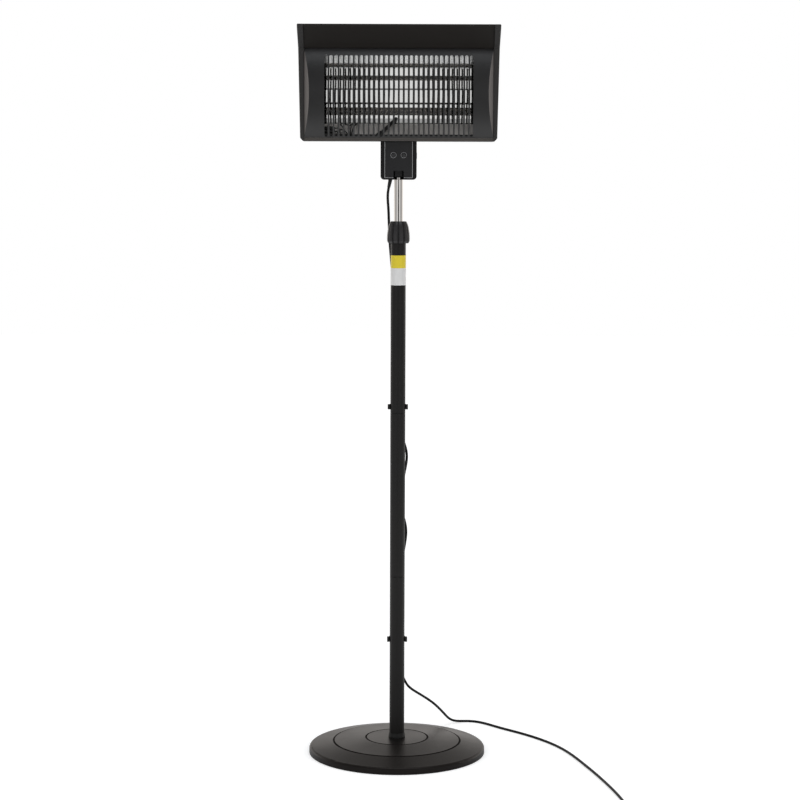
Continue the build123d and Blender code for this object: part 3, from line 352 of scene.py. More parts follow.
floor_route = in_metres([
    (0, 24.75, 273), (1.2, 26.8, 247), (4.6, 31, 220), (11, 38, 196), (19.5, 49, 175), (27.5, 66, 157),
    (39, 91, 141), (56, 120, 123.5), (79, 153, 101.5), (99, 187, 79), (114, 219, 57), (127, 246, 37),
    (139, 269, 18.5), (153, 286.5, 7), (172, 296, 3.35), (194, 298.5, 3.35), (217, 291, 3.35),
    (238, 273, 3.35), (258, 249.5, 3.35), (279, 224, 3.35), (303, 199, 3.35), (332, 168, 3.35),
    (363, 130, 3.35), (393, 86, 3.35), (420, 36, 3.35), (441, -18, 3.35), (458, -76, 3.35),
    (474, -138, 3.35), (490, -202, 3.35), (505, -268, 3.35), (519, -335, 3.35), (531, -402, 3.35),
    (540, -466, 3.35), (545, -520, 3.35), (547, -553, 3.35),
])
COIL_R = 0.043
COIL_STEP = 0.0071
COIL_LAYER_TURNS = 2.389
COIL_KNOTS = 16
CLIMB_TURNS = 0.5
PLUG_RISE_TURNS = 0.25
PLUG_RISE = PLUG_AXIS_Z - LEAD_ON_FLOOR_Z - COIL_STEP


def coil_knots(start, way):
    """Points of a two-layer coil: in along the floor, up half a turn where it reverses, and out again."""
    outward = Vector((-way.y, way.x, 0))
    centre = start - outward * COIL_R
    turns = 2 * COIL_LAYER_TURNS + CLIMB_TURNS
    count = round(turns * COIL_KNOTS)
    swell = 1 / cos(pi / COIL_KNOTS) ** 0.5
    knots = []
    for i in range(1, count + 1):
        turn = turns * i / count
        left = turns - turn
        climb = min(max(turn - COIL_LAYER_TURNS, 0) / CLIMB_TURNS, 1)
        rise = COIL_STEP * (1 - cos(pi * climb)) / 2 + max(0, 1 - left / PLUG_RISE_TURNS) * PLUG_RISE
        reach = (COIL_R - COIL_STEP * min(turn, left)) * swell
        swing = 2 * pi * turn
        place = centre + outward * (reach * cos(swing)) + way * (reach * sin(swing))
        knots.append(place + Vector((0, 0, rise)))
    return knots


lead_way = (Vector(floor_route[-1]) - Vector(floor_route[-2])).normalized()
coil_start = Vector(floor_route[-1]) + lead_way * LEAD_D
wound = coil_knots(coil_start, lead_way)
pins_low, pins_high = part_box("plug_pins")
plug_way = (pins_low + pins_high) / 2 - wound[-1]
plug_way.z = 0
plug_way.normalize()
lead_end = wound[-1] + plug_way * LEAD_D


def fit(piece, body, slot, *nodes):
    """The piece rides on a body and stands for any CAD nodes named, which are hidden. The slot is not used.
    """
    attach(piece, body)
    if nodes:
        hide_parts(*nodes)


floor_lead = line_curve(
    "floor_lead", pole_route + floor_route + [coil_start, *wound, lead_end], LEAD_D, lead_rubber,
)
fit(floor_lead, "stand", "cord_pvc", "cord_pole_run", "cord_floor_run", "cord_coil")


def run_points(name, points, resolution=24):
    """Closely spaced points on the smooth line that these control points give."""
    guide = line_curve(name, points, 0.0, lead_rubber)
    guide.data.use_fill_caps = False
    guide.data.splines[0].resolution_u = resolution
    bpy.context.view_layer.update()
    line = bpy.data.meshes.new_from_object(guide.evaluated_get(bpy.context.evaluated_depsgraph_get()))
    found = [v.co.copy() for v in line.vertices]
    bpy.data.objects.remove(guide)
    return found


def angles(count):
    """Evenly spaced angles of one whole turn."""
    return [2 * pi * k / count for k in range(count)]


def skin(edit, rings):
    """Quads between each ring of points and the next, all the way round."""
    for low, high in zip(rings, rings[1:]):
        for k in range(len(low)):
            following = (k + 1) % len(low)
            edit.faces.new((low[k], low[following], high[following], high[k]))


def close_ends(edit, rings):
    edit.faces.new(rings[0][::-1])
    edit.faces.new(rings[-1])


def finished(name, edit, material, smooth=True):
    """Turns an edited mesh into a piece with this material."""
    bmesh.ops.recalc_face_normals(edit, faces=edit.faces)
    for face in edit.faces:
        face.smooth = smooth
    data = bpy.data.meshes.new(name)
    edit.to_mesh(data)
    edit.free()
    data.materials.append(material)
    piece = bpy.data.objects.new(name, data)
    bpy.context.collection.objects.link(piece)
    return piece


def tube_on(name, points, radius, sides, material):
    """A closed round tube along points that lie close together."""
    edit = bmesh.new()
    way = (points[1] - points[0]).normalized()
    side = way.orthogonal().normalized()
    rings = []
    for i, place in enumerate(points):
        ahead = (points[min(i + 1, len(points) - 1)] - points[max(i - 1, 0)]).normalized()
        side = way.rotation_difference(ahead) @ side
        way = ahead
        across = way.cross(side)
        rings.append([
            edit.verts.new(place + radius * (cos(a) * side + sin(a) * across)) for a in angles(sides)
        ])
    skin(edit, rings)
    close_ends(edit, rings)
    return finished(name, edit, material)


# The lead's upper run is cut into three pieces at these heights, where one moving body meets the next; the
# pieces are not attached to those bodies.
MAST_SPLIT_Z = 1.404
SLIDER_SPLIT_Z = 1.300
LEAD_SIDES = 16
upper_points = run_points("upper_guide", upper_route)
at_mast, at_slider = (
    min(range(len(upper_points)), key=lambda i: abs(upper_points[i].z - height))
    for height in (MAST_SPLIT_Z, SLIDER_SPLIT_Z)
)
upper_leads = (
    ("neck_lead", upper_points[: at_mast + 1], "head", "mast"),
    ("collar_lead", upper_points[at_mast : at_slider + 1], "mast", "slider"),
    ("mast_lead", upper_points[at_slider:], "slider", "stand"),
)
for lead_name, lead_points, above, below in upper_leads:
    lead = tube_on(lead_name, lead_points, LEAD_D / 2, LEAD_SIDES, lead_rubber)
    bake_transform(lead)
    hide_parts("cord_upper_run")

# ---------------------------------------------------------------- plug
# Two-pin moulded plug on the end of the lead: black rubber body, two nickel-plated brass pins. It is
# moulded onto the lead, so nothing holds it but its own tail.
plug_rubber = grained(
    "plug_rubber", grey(0.004), grey(0.009), roughness=(0.48, 0.60), specular=0.35, grain=1100, depth=0.16,
)
pin_nickel = grained(
    "pin_nickel", (0.60, 0.58, 0.54), (0.72, 0.70, 0.66), roughness=(0.16, 0.28), grain=2500, depth=0.03,
    patch=60, metallic=1.0,
)
WELD_GAP = 2e-6
FLAT_ANGLE = radians(0.4)


def softened(node, name, material, body, slot, edge, crease=30.0, segments=2, reshape=None):
    """A copy of a CAD piece whose sharp edges are rounded by that width; it stands for the CAD node."""
    edit = bmesh.new()
    edit.from_mesh(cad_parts[node].data)
    bmesh.ops.remove_doubles(edit, verts=edit.verts, dist=WELD_GAP)
    if reshape:
        reshape(edit)
    bmesh.ops.dissolve_limit(edit, angle_limit=FLAT_ANGLE, verts=edit.verts, edges=edit.edges)
    piece = finished(name, edit, material)
    rounding = piece.modifiers.new("edges", "BEVEL")
    rounding.width = edge
    rounding.segments = segments
    rounding.limit_method = "ANGLE"
    rounding.angle_limit = radians(crease)
    flat_faces = piece.modifiers.new("flat_faces", "WEIGHTED_NORMAL")
    flat_faces.mode = "FACE_AREA"
    flat_faces.weight = 80
    fit(piece, body, slot, node)


def dress(piece, material):
    """Gives every face of a piece this material."""
    piece.data.materials.clear()
    piece.data.materials.append(material)


def dress_nodes(material, *nodes):
    """Gives CAD nodes that keep their own shape this material."""
    for node in nodes:
        dress(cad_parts[node], material)


softened("plug_body", "plug_moulding", plug_rubber, "stand", "plug_pvc", edge=0.0012)
dress_nodes(pin_nickel, "plug_pins")

# ---------------------------------------------------------------- weighted base
# Rubber foot ring, flat steel plate and cast weight under a spun steel cover in satin black powder
# coat, clamped together by one bolt that also holds the socket of the pole.
base_coat = grained(
    "base_coat", (0.0036, 0.0031, 0.0028), (0.0066, 0.0058, 0.0053), roughness=(0.32, 0.42), specular=0.18,
    grain=1300, depth=0.10, patch=5,
)
base_coat.node_tree.nodes["Principled BSDF"].inputs["Specular Tint"].default_value = (1.0, 0.915, 0.89, 1.0)
foot_rubber = grained(
    "foot_rubber", grey(0.006), grey(0.012), roughness=(0.70, 0.85), specular=0.3, depth=0.2,
)
zinc = grained(
    "zinc_plate", (0.42, 0.42, 0.40), (0.56, 0.56, 0.54), roughness=(0.28, 0.45), grain=700, depth=0.05,
    patch=40, metallic=1.0,
)
concrete = grained(
    "weight_casting", (0.28, 0.27, 0.25), (0.42, 0.41, 0.38), roughness=(0.85, 0.95), specular=0.2,
    grain=300, depth=0.6, patch=25,
)
RING_GROOVES = (0.162, 0.079)
GROOVE_HALF_W = 0.0024


def dulled_rings(material, radii, half_width):
    """Paint lies matt in pressed ring grooves, at these distances from the Z axis."""
    tree = material.node_tree
    shader = tree.nodes["Principled BSDF"]
    place = add_node(tree, "ShaderNodeTexCoord").outputs["Object"]
    level = add_node(tree, "ShaderNodeVectorMath", {0: place, 1: (1.0, 1.0, 0.0)}, operation="MULTIPLY")
    reach = add_node(tree, "ShaderNodeVectorMath", {0: level.outputs["Vector"]}, operation="LENGTH")
    rough = shader.inputs["Roughness"].links[0].from_socket
    for radius in radii:
        near = maths(tree, "COMPARE", reach.outputs["Value"], radius, half_width)
        rough = maths(tree, "MAXIMUM", rough, near)
    feed(tree, shader, {"Roughness": rough})


dulled_rings(base_coat, RING_GROOVES, GROOVE_HALF_W)
dress_nodes(base_coat, "base_cover")
dress_nodes(foot_rubber, "foot_ring")
dress_nodes(concrete, "base_weight")
dress_nodes(zinc, "base_plate", "pole_socket", "base_bolt", "base_washer", "base_nut")

# ---------------------------------------------------------------- pole
# Three lengths of 38 mm steel tube in the same satin black, joined by zinc-plated inner sleeves; a moulded
# ring covers the gap at the foot.
pole_coat = grained(
    "pole_coat", (0.0044, 0.0040, 0.0038), (0.0080, 0.0074, 0.0070), roughness=(0.34, 0.46), specular=0.21,
    grain=1500, depth=0.10, patch=6,
)
black_moulding = grained(
    "black_moulding", grey(0.004), grey(0.008), roughness=(0.45, 0.6), specular=0.3, grain=1000, depth=0.18,
)
dress_nodes(pole_coat, "lower_pole", "middle_pole", "upper_pole")
dress_nodes(zinc, "lower_coupler", "upper_coupler")
dress_nodes(black_moulding, "pole_ring")

# ---------------------------------------------------------------- pole bands
# Two thin plain foil bands stuck round the top of the pole, yellow over silver white. Each laps over
# itself at the back of the pole.
BAND_R = 0.01908
BAND_T = 0.0001
BAND_LOW, BAND_MIDDLE, BAND_TOP = 1.201, 1.244, 1.276
BAND_SIDES = 72
BAND_LAP = 0.12
LAP_RISE = 0.00012
band_yellow = grained(
    "band_yellow", (0.62, 0.50, 0.020), (0.72, 0.58, 0.030), roughness=(0.30, 0.42), grain=1800, depth=0.03,
    patch=30,
)
band_white = grained(
    "band_white", grey(0.60), grey(0.72), roughness=(0.28, 0.40), grain=1800, depth=0.03, patch=30,
)


def foil_band(name, low_z, high_z, material):
    """A thin closed sleeve of a little over a whole turn, so that its end lies on its start."""
    edit = bmesh.new()
    rows = []
    for radius, height in (
        (BAND_R, low_z), (BAND_R, high_z), (BAND_R + BAND_T, high_z), (BAND_R + BAND_T, low_z),
    ):
        row = []
        for i in range(BAND_SIDES + 1):
            turn = pi / 2 + (2 * pi + BAND_LAP) * i / BAND_SIDES
            reach = radius + LAP_RISE * i / BAND_SIDES
            row.append(edit.verts.new((reach * cos(turn), reach * sin(turn), height)))
        rows.append(row)
    for a, b in zip(rows, rows[1:] + rows[:1]):
        for i in range(BAND_SIDES):
            edit.faces.new((a[i], b[i], b[i + 1], a[i + 1]))
    for i in (0, BAND_SIDES):
        edit.faces.new([row[i] for row in rows])
    fit(finished(name, edit, material, smooth=False), "stand", "pole_satin")


foil_band("band_silver", BAND_LOW, BAND_MIDDLE, band_white)
foil_band("band_gold", BAND_MIDDLE, BAND_TOP, band_yellow)

# ---------------------------------------------------------------- cable clips
# Snap-on nylon clips in black: an arm round each side of the pole and a split loop that holds the lead.
# They stay in place by their own spring.
for node, name in (("upper_cable_clip", "upper_clip"), ("lower_cable_clip", "lower_clip")):
    softened(node, name, black_moulding, "stand", "clip_plastic", edge=0.0005)

# ---------------------------------------------------------------- collar and bush
# The collar is turned by hand to squeeze the split nylon bush round the inner tube. It is a ribbed black
# moulding with a matt grain, and more nylon closes the foot of the tube.
collar_black = grained(
    "collar_black", (0.0082, 0.0076, 0.0084), (0.0130, 0.0122, 0.0135), roughness=(0.28, 0.38),
    specular=0.38, grain=1100, depth=0.20,
)
grey_nylon = grained(
    "grey_nylon", grey(0.06), grey(0.10), roughness=(0.5, 0.6), specular=0.4, grain=1000, depth=0.1,
)
FINGER_GROOVES = 12
# Painted shade: the colour that the finger grooves are darkened to.
GROOVE_SHADE = (0.0015, 0.0014, 0.0016)
GROOVE_MATT = 0.5


def axes(tree):
    """The X, Y and Z of a place on the piece."""
    place = add_node(tree, "ShaderNodeTexCoord").outputs["Object"]
    return add_node(tree, "ShaderNodeSeparateXYZ", {0: place}).outputs


def darkened(tree, share, colour):
    """Turns the base colour to a darker one where share is 1."""
    shader = tree.nodes["Principled BSDF"]
    plain = shader.inputs["Base Color"].links[0].from_socket
    feed(tree, shader, {"Base Color": mixed(tree, share, plain, (*colour, 1.0))})


def shaded_grooves(material, count):
    """Paints shade into the finger grooves round the Z axis: they are darker and rougher than the ribs
    between them.
    """
    tree = material.node_tree
    shader = tree.nodes["Principled BSDF"]
    place = axes(tree)
    turn = maths(tree, "MULTIPLY", maths(tree, "ARCTAN2", place["Y"], place["X"]), count)
    groove = between(tree, maths(tree, "COSINE", turn), 0.0, 1.0, start=0.1, end=0.9)
    darkened(tree, groove, GROOVE_SHADE)
    rough = shader.inputs["Roughness"].links[0].from_socket
    feed(tree, shader, {"Roughness": maths(tree, "MULTIPLY_ADD", groove, GROOVE_MATT, rough)})


shaded_grooves(collar_black, FINGER_GROOVES)
softened("lock_collar", "twist_collar", collar_black, "collar", "collar_plastic", edge=0.0005, crease=35)
dress_nodes(grey_nylon, "guide_bush", "foot_plug")

# ---------------------------------------------------------------- inner tube
# Bright chrome-plated steel tube, 22 mm across, with a dark steel lug pressed into its top for the tilt
# bolt. It slides and turns in the bush, and the collar locks it.
chrome = grained(
    "bright_chrome", (0.43, 0.415, 0.40), (0.49, 0.475, 0.46), roughness=(0.06, 0.10), depth=0.0, patch=30,
    metallic=1.0,
)
dark_steel = grained(
    "dark_steel", (0.008, 0.008, 0.009), (0.018, 0.018, 0.020), roughness=(0.35, 0.50), specular=0.4,
    depth=0.06, patch=40,
)
dress_nodes(chrome, "inner_tube")
dress_nodes(dark_steel, "tilt_lug")

# ---------------------------------------------------------------- neck box
# Folded steel shell with an inset moulded cover, hung from the head; inside it the bracket tilts on a
# bolt through the lug of the inner tube.
head_coat = grained(
    "head_coat", (0.0055, 0.0055, 0.0060), (0.0095, 0.0095, 0.0105), roughness=(0.38, 0.50), specular=0.3,
    grain=1500, depth=0.12, patch=5,
)
neck_coat = grained(
    "neck_coat", (0.0040, 0.0040, 0.0045), (0.0075, 0.0075, 0.0085), roughness=(0.26, 0.38), specular=0.35,
    grain=1500, depth=0.08, patch=8,
)
shell_coat = grained(
    "shell_coat", (0.0030, 0.0029, 0.0031), (0.0055, 0.0053, 0.0056), roughness=(0.40, 0.52), specular=0.18,
    grain=1500, depth=0.10, patch=8,
)
NECK_CORNER = Vector((0.036, 1.551))
NECK_CORNER_R = 0.009
CORNER_SLACK = 1.02
PAST_CORNER = 1e-5


def squared_top(edit):
    """Square upper corners, because the box goes straight up under the head."""
    for vert in edit.verts:
        reach = Vector((abs(vert.co.x), vert.co.z)) - NECK_CORNER
        if min(reach) > PAST_CORNER and reach.length < NECK_CORNER_R * CORNER_SLACK:
            reach *= reach.length / max(reach)
            vert.co.x = (NECK_CORNER.x + reach.x) * (1 if vert.co.x > 0 else -1)
            vert.co.z = NECK_CORNER.y + reach.y


softened(
    "neck_shell", "neck_box", shell_coat, "head", "head_paint", edge=0.0009, segments=3,
    reshape=squared_top,
)
softened("neck_cover", "neck_plate", neck_coat, "head", "head_paint", edge=0.0006, segments=3)
softened("tilt_bracket", "tilt_fork", zinc, "head", "zinc_steel", edge=0.0005)
dress_nodes(zinc, "bracket_screws", "tilt_nut")
dress_nodes(dark_steel, "tilt_bolt")


# ---------------------------------------------------------------- neck screws
# Two black pan-headed screws with a cross recess hold the cover; each sits in a well, and a bright metal
# ring round the well's rim is a painted highlight.
def node_tree(name, inputs):
    """An empty geometry tree whose named inputs set its sizes; returns it, those inputs and its end."""
    tree = bpy.data.node_groups.new(name, "GeometryNodeTree")
    for label, kind in {"Geometry": "NodeSocketGeometry", **inputs}.items():
        tree.interface.new_socket(label, in_out="INPUT", socket_type=kind)
    tree.interface.new_socket("Geometry", in_out="OUTPUT", socket_type="NodeSocketGeometry")
    return tree, tree.nodes.new("NodeGroupInput").outputs, tree.nodes.new("NodeGroupOutput")


def end_tree(tree, geometry, finish, result):
    """Ends a tree with its geometry in that finish."""
    dressed = add_node(tree, "GeometryNodeSetMaterial", {"Geometry": geometry, "Material": finish})
    feed(tree, result, {"Geometry": dressed.outputs["Geometry"]})


def grown(name, seed, tree, values):
    """The plain mesh that a tree makes from a seed mesh, as a piece of its own."""
    holder = bpy.data.objects.new(name + "_seed", seed)
    bpy.context.collection.objects.link(holder)
    grower = holder.modifiers.new("grow", "NODES")
    grower.node_group = tree
    for socket in tree.interface.items_tree:
        if socket.item_type == "SOCKET" and socket.in_out == "INPUT" and socket.name in values:
            grower[socket.identifier] = values[socket.name]
    bpy.context.view_layer.update()
    mesh = bpy.data.meshes.new_from_object(holder.evaluated_get(bpy.context.evaluated_depsgraph_get()))
    mesh.name = name
    bpy.data.objects.remove(holder)
    piece = bpy.data.objects.new(name, mesh)
    bpy.context.collection.objects.link(piece)
    return piece


def placed_parts_tree():
    """Stands a copy of a small part at each point of the seed, its Z along the point's "way"."""
    tree, given, result = node_tree("placed_parts", {
        "Part": "NodeSocketObject", "Turn step": "NodeSocketFloat", "Finish": "NodeSocketMaterial",
    })
    points = add_node(tree, "GeometryNodeMeshToPoints", {"Mesh": given["Geometry"]})
    part = add_node(tree, "GeometryNodeObjectInfo", {"Object": given["Part"]})
    way = add_node(tree, "GeometryNodeInputNamedAttribute", {"Name": "way"}, data_type="FLOAT_VECTOR")
    aim = add_node(tree, "FunctionNodeAlignRotationToVector", {
        "Vector": way.outputs["Attribute"],
    }, axis="Z")
    index = add_node(tree, "GeometryNodeInputIndex").outputs["Index"]
    spin = add_node(tree, "ShaderNodeCombineXYZ", {"Z": maths(tree, "MULTIPLY", index, given["Turn step"])})
    spin_rotation = add_node(tree, "FunctionNodeEulerToRotation", {"Euler": spin.outputs[0]})
    turned = add_node(tree, "FunctionNodeRotateRotation", {
        "Rotation": aim.outputs["Rotation"], "Rotate By": spin_rotation.outputs["Rotation"],
    }, rotation_space="LOCAL")
    stand = add_node(tree, "GeometryNodeInstanceOnPoints", {
        "Points": points.outputs["Points"], "Instance": part.outputs["Geometry"],
        "Rotation": turned.outputs["Rotation"],
    })
    realize = add_node(tree, "GeometryNodeRealizeInstances", {"Geometry": stand.outputs["Instances"]})
    end_tree(tree, realize.outputs["Geometry"], given["Finish"], result)
    return tree


placed_parts = placed_parts_tree()


def set_parts(name, pattern, places, ways, turn_step, material):
    """Copies of a small part at these places, each along its way; the pattern itself is taken away."""
    seed = bpy.data.meshes.new(name + "_places")
    seed.from_pydata([tuple(p) for p in places], [], [])
    way = seed.attributes.new("way", "FLOAT_VECTOR", "POINT")
    way.data.foreach_set("vector", [value for w in ways for value in w])
    piece = grown(name, seed, placed_parts, {"Part": pattern, "Turn step": turn_step, "Finish": material})
    bpy.data.objects.remove(pattern)
    return piece


SCREW_SIDES = 32
# The head's outline from its seat to its top, as shares of its radius and height.
HEAD_PROFILE = ((1.0, 0.0), (1.0, 0.35), (0.93, 0.66), (0.80, 0.88), (0.68, 1.0))
# The recess: the reach of its arms and half their width as shares of the radius, its depth of the height.
RECESS_ARM, RECESS_SLOT, RECESS_DEPTH = 0.62, 0.16, 0.55
RECESS_TAPER = 0.7


def screw_head(name, radius, height, shank_r, shank):
    """One pan-headed screw with a cross recess, its head's seat at the origin and its head along +Z."""
    edit = bmesh.new()
    arm, blade, deep = RECESS_ARM * radius, RECESS_SLOT * radius, RECESS_DEPTH * height
    profile = [(shank_r, -shank), (shank_r, 0)] + [(radius * r, height * z) for r, z in HEAD_PROFILE]
    half_step = pi / SCREW_SIDES
    rings = [[
        edit.verts.new((r * cos(a + half_step), r * sin(a + half_step), z)) for a in angles(SCREW_SIDES)
    ] for r, z in profile]
    skin(edit, rings)
    edit.faces.new(rings[0][::-1])
    quarter = [(arm, -blade), (arm, blade), (blade, blade)]
    cross = quarter + [(-y, x) for x, y in quarter] + [(-x, -y) for x, y in quarter] + [
        (y, -x) for x, y in quarter
    ]
    top = [edit.verts.new((x, y, height)) for x, y in cross]
    recess = [edit.verts.new((RECESS_TAPER * x, RECESS_TAPER * y, height - deep)) for x, y in cross]
    skin(edit, [top, recess])
    edit.faces.new(recess)
    borders = [
        edit.edges.get(pair) for ring in (rings[-1], top) for pair in zip(ring, ring[1:] + ring[:1])
    ]
    bmesh.ops.triangle_fill(edit, use_beauty=True, edges=borders)
    pattern = finished(name, edit, black_screw, smooth=False)
    for face in pattern.data.polygons:
        face.use_smooth = len(face.vertices) == 4 and face.center.xy.length > arm
    return pattern


black_screw = grained(
    "black_screw", (0.012, 0.012, 0.013), (0.030, 0.030, 0.032), roughness=(0.25, 0.38), depth=0.05,
    patch=90,
)
# Bright bare metal for the painted highlights on the neck cover's edges and wells.
painted_edge_highlight = grained(
    "painted_edge_highlight", (0.34, 0.34, 0.35), (0.48, 0.48, 0.49), roughness=(0.34, 0.46), depth=0.05, patch=90,
    metallic=1.0,
)
COVER_SCREW_X, COVER_SCREW_Z = 0.0128, 1.526
COVER_SEAT_Y = -0.0276
WELL_Y = -0.0290
FORWARD = (0, -1, 0)
neck_screw = screw_head("neck_screw", radius=0.0046, height=0.0018, shank_r=0.0021, shank=0.0106)
cover_screws = set_parts(
    "neck_screws", neck_screw, [(side * COVER_SCREW_X, COVER_SEAT_Y, COVER_SCREW_Z) for side in (-1, 1)],
    [FORWARD] * 2, turn_step=0.6, material=black_screw,
)
fit(cover_screws, "head", "black_steel", "cover_screws")

RING_AROUND, RING_SIDES = 40, 8


def wire_ring(name, radius, thickness):
    """A round ring about Z, for a pattern."""
    edit = bmesh.new()
    rings = []
    for turn in angles(RING_AROUND):
        ring = []
        for a in angles(RING_SIDES):
            reach = radius + thickness / 2 * cos(a)
            ring.append(edit.verts.new((reach * cos(turn), reach * sin(turn), thickness / 2 * sin(a))))
        rings.append(ring)
    skin(edit, rings + rings[:1])
    return finished(name, edit, painted_edge_highlight)


# A bright ring on each well's rim: a painted highlight.
screw_well = wire_ring("screw_well", radius=0.0068, thickness=0.0007)
screw_wells = set_parts(
    "screw_wells", screw_well, [(side * COVER_SCREW_X, WELL_Y, COVER_SCREW_Z) for side in (-1, 1)],
    [FORWARD] * 2, turn_step=0.0, material=painted_edge_highlight,
)
fit(screw_wells, "head", "zinc_steel")

# ---------------------------------------------------------------- cover edging
# A bright bare metal strip along the edge of the cover's flange, up both sides and along the bottom, as far
# as the notch over the tube: a painted highlight on that edge.
EDGE_X, EDGE_LOW, EDGE_HIGH = 0.0344, 1.4693, 1.5590
EDGE_W, EDGE_D = 0.0011, 0.0016
EDGE_Y = -0.0295
NOTCH_X = 0.0130
edging = bmesh.new()
for side in (-1, 1):
    for low_corner, high_corner in (
        (Vector((EDGE_X - EDGE_W / 2, EDGE_LOW)), Vector((EDGE_X + EDGE_W / 2, EDGE_HIGH))),
        (Vector((NOTCH_X, EDGE_LOW)), Vector((EDGE_X - EDGE_W / 2, EDGE_LOW + EDGE_W))),
    ):
        size, middle = high_corner - low_corner, (high_corner + low_corner) / 2
        for vert in bmesh.ops.create_cube(edging, size=1.0)["verts"]:
            x, y, z = vert.co
            vert.co = (side * middle.x + x * size.x, EDGE_Y + y * EDGE_D, middle.y + z * size.y)
fit(finished("cover_edging", edging, painted_edge_highlight, smooth=False), "head", "zinc_steel")

# ---------------------------------------------------------------- cable gland
# Moulded strain relief pushed through the floor of the neck box and held by a flange inside it. Outside
# it tapers over 20 mm along the lead.
dress_nodes(black_moulding, "cable_gland")

# ---------------------------------------------------------------- head casing
# Folded steel housing with cooling slots at its back, a folded visor, and a moulded cap on each end. The
# caps' screws hold the folded sheets between them.
visor_coat = grained(
    "visor_coat", (0.0062, 0.0050, 0.0040), (0.0098, 0.0080, 0.0066), roughness=(0.45, 0.58), specular=0.2,
    grain=1500, depth=0.12, patch=5,
)
cap_moulding = grained(
    "cap_moulding", (0.0085, 0.0077, 0.0073), (0.0145, 0.0134, 0.0127), roughness=(0.34, 0.46),
    specular=0.45, grain=1100, depth=0.2, patch=6,
)
softened("rear_housing", "back_housing", head_coat, "head", "head_paint", edge=0.0005)
softened("visor", "visor_sheet", visor_coat, "head", "head_paint", edge=0.0005)
softened("end_cap_left", "left_cap", cap_moulding, "head", "cap_plastic", edge=0.0007)
softened("end_cap_right", "right_cap", cap_moulding, "head", "cap_plastic", edge=0.0007)

# ---------------------------------------------------------------- front hem
# The folded edge of the housing's steel floor, which stands in front of the grille's lower rim. Its coat is
# painted lighter than that of the sheets round it, as painted light.
# Painted light: a coat lighter than the housing's, for the lit edge.
hem_painted_light = grained(
    "hem_painted_light", (0.034, 0.030, 0.027), (0.050, 0.045, 0.041), roughness=(0.32, 0.44), specular=0.4,
    grain=1500, depth=0.10, patch=12,
)
HEM_HALF_W, HEM_Y, HEM_LOW, HEM_HIGH, HEM_BOW = 0.2349, -0.0454, 1.5604, 1.5689, 0.0012
HEM_STEPS = 8
hem_edit = bmesh.new()
hem_rows = []
for step in range(HEM_STEPS + 1):
    turn = pi * step / HEM_STEPS
    rise = (HEM_LOW + HEM_HIGH) / 2 - (HEM_HIGH - HEM_LOW) / 2 * cos(turn)
    hem_rows.append([
        hem_edit.verts.new((side * HEM_HALF_W, HEM_Y - HEM_BOW * sin(turn), rise)) for side in (-1, 1)
    ])
for low_row, high_row in zip(hem_rows, hem_rows[1:] + hem_rows[:1]):
    hem_edit.faces.new((low_row[0], low_row[1], high_row[1], high_row[0]))
for end in (0, 1):
    hem_edit.faces.new([row[end] for row in hem_rows])
fit(finished("front_hem", hem_edit, hem_painted_light, smooth=False), "head", "head_paint")

# ---------------------------------------------------------------- end-cap screws
# Four black pan-headed screws through each end cap into the folded sheets. The caps lean outwards, so a
# screw stands further out the higher it is.
CAP_SCREW_PLACES = ((0.040, 1.612), (0.040, 1.748), (-0.032, 1.582), (-0.056, 1.811))
CAP_LOW_X, CAP_HIGH_X = 0.2442, 0.2500
CAP_LOW_Z, CAP_HIGH_Z = 1.560, 1.844
CAP_SEAT = 0.0024
CAP_LEAN = (CAP_HIGH_X - CAP_LOW_X) / (CAP_HIGH_Z - CAP_LOW_Z)
cap_places = [
    (side * (CAP_LOW_X + CAP_LEAN * (z - CAP_LOW_Z) - CAP_SEAT), y, z)
    for side in (1, -1) for y, z in CAP_SCREW_PLACES
]
cap_ways = [(side, 0, 0) for side in (1, -1) for place in CAP_SCREW_PLACES]
cap_screw = screw_head("cap_screw", radius=0.0042, height=0.0020, shank_r=0.0020, shank=0.010)
cap_screws = set_parts("cap_fixings", cap_screw, cap_places, cap_ways, turn_step=0.7, material=black_screw)
fit(cap_screws, "head", "black_steel", "cap_screws")


# ---------------------------------------------------------------- reflector
# Polished aluminium sheet folded into a trough round each lamp, satin on its top fold, with an end plate
# at each side, a dull tray below it, and a sill and flange in the housing's black coat where it meets the
# housing, their dark coat painted shade. Rolling leaves faint streaks along the sheet, and its folds are
# not quite flat.
def streak_group():
    """Faint rolling streaks along X, from 0 to 1, and a slow waviness of the sheet."""
    group, given, result = shade_group(
        "rolling_streaks", {"Along": 4.0, "Across": 500.0, "Wave size": 14.0}, ("Streaks", "Waves"),
    )
    place = add_node(group, "ShaderNodeTexCoord").outputs["Object"]
    stretch = add_node(group, "ShaderNodeCombineXYZ", {
        "X": given["Along"], "Y": given["Across"], "Z": given["Across"],
    })
    scaled = add_node(group, "ShaderNodeVectorMath", {
        0: place, 1: stretch.outputs[0],
    }, operation="MULTIPLY")
    streaks = add_node(group, "ShaderNodeTexNoise", {
        "Vector": scaled.outputs[0], "Scale": 1.0, "Detail": 3.0,
    })
    waves = add_node(group, "ShaderNodeTexNoise", {
        "Vector": place, "Scale": given["Wave size"], "Detail": 1.0,
    })
    feed(group, result, {"Streaks": streaks.outputs["Fac"], "Waves": waves.outputs["Fac"]})
    return group


WAVE_RISE = 0.01
STREAK_RISE = 0.0002


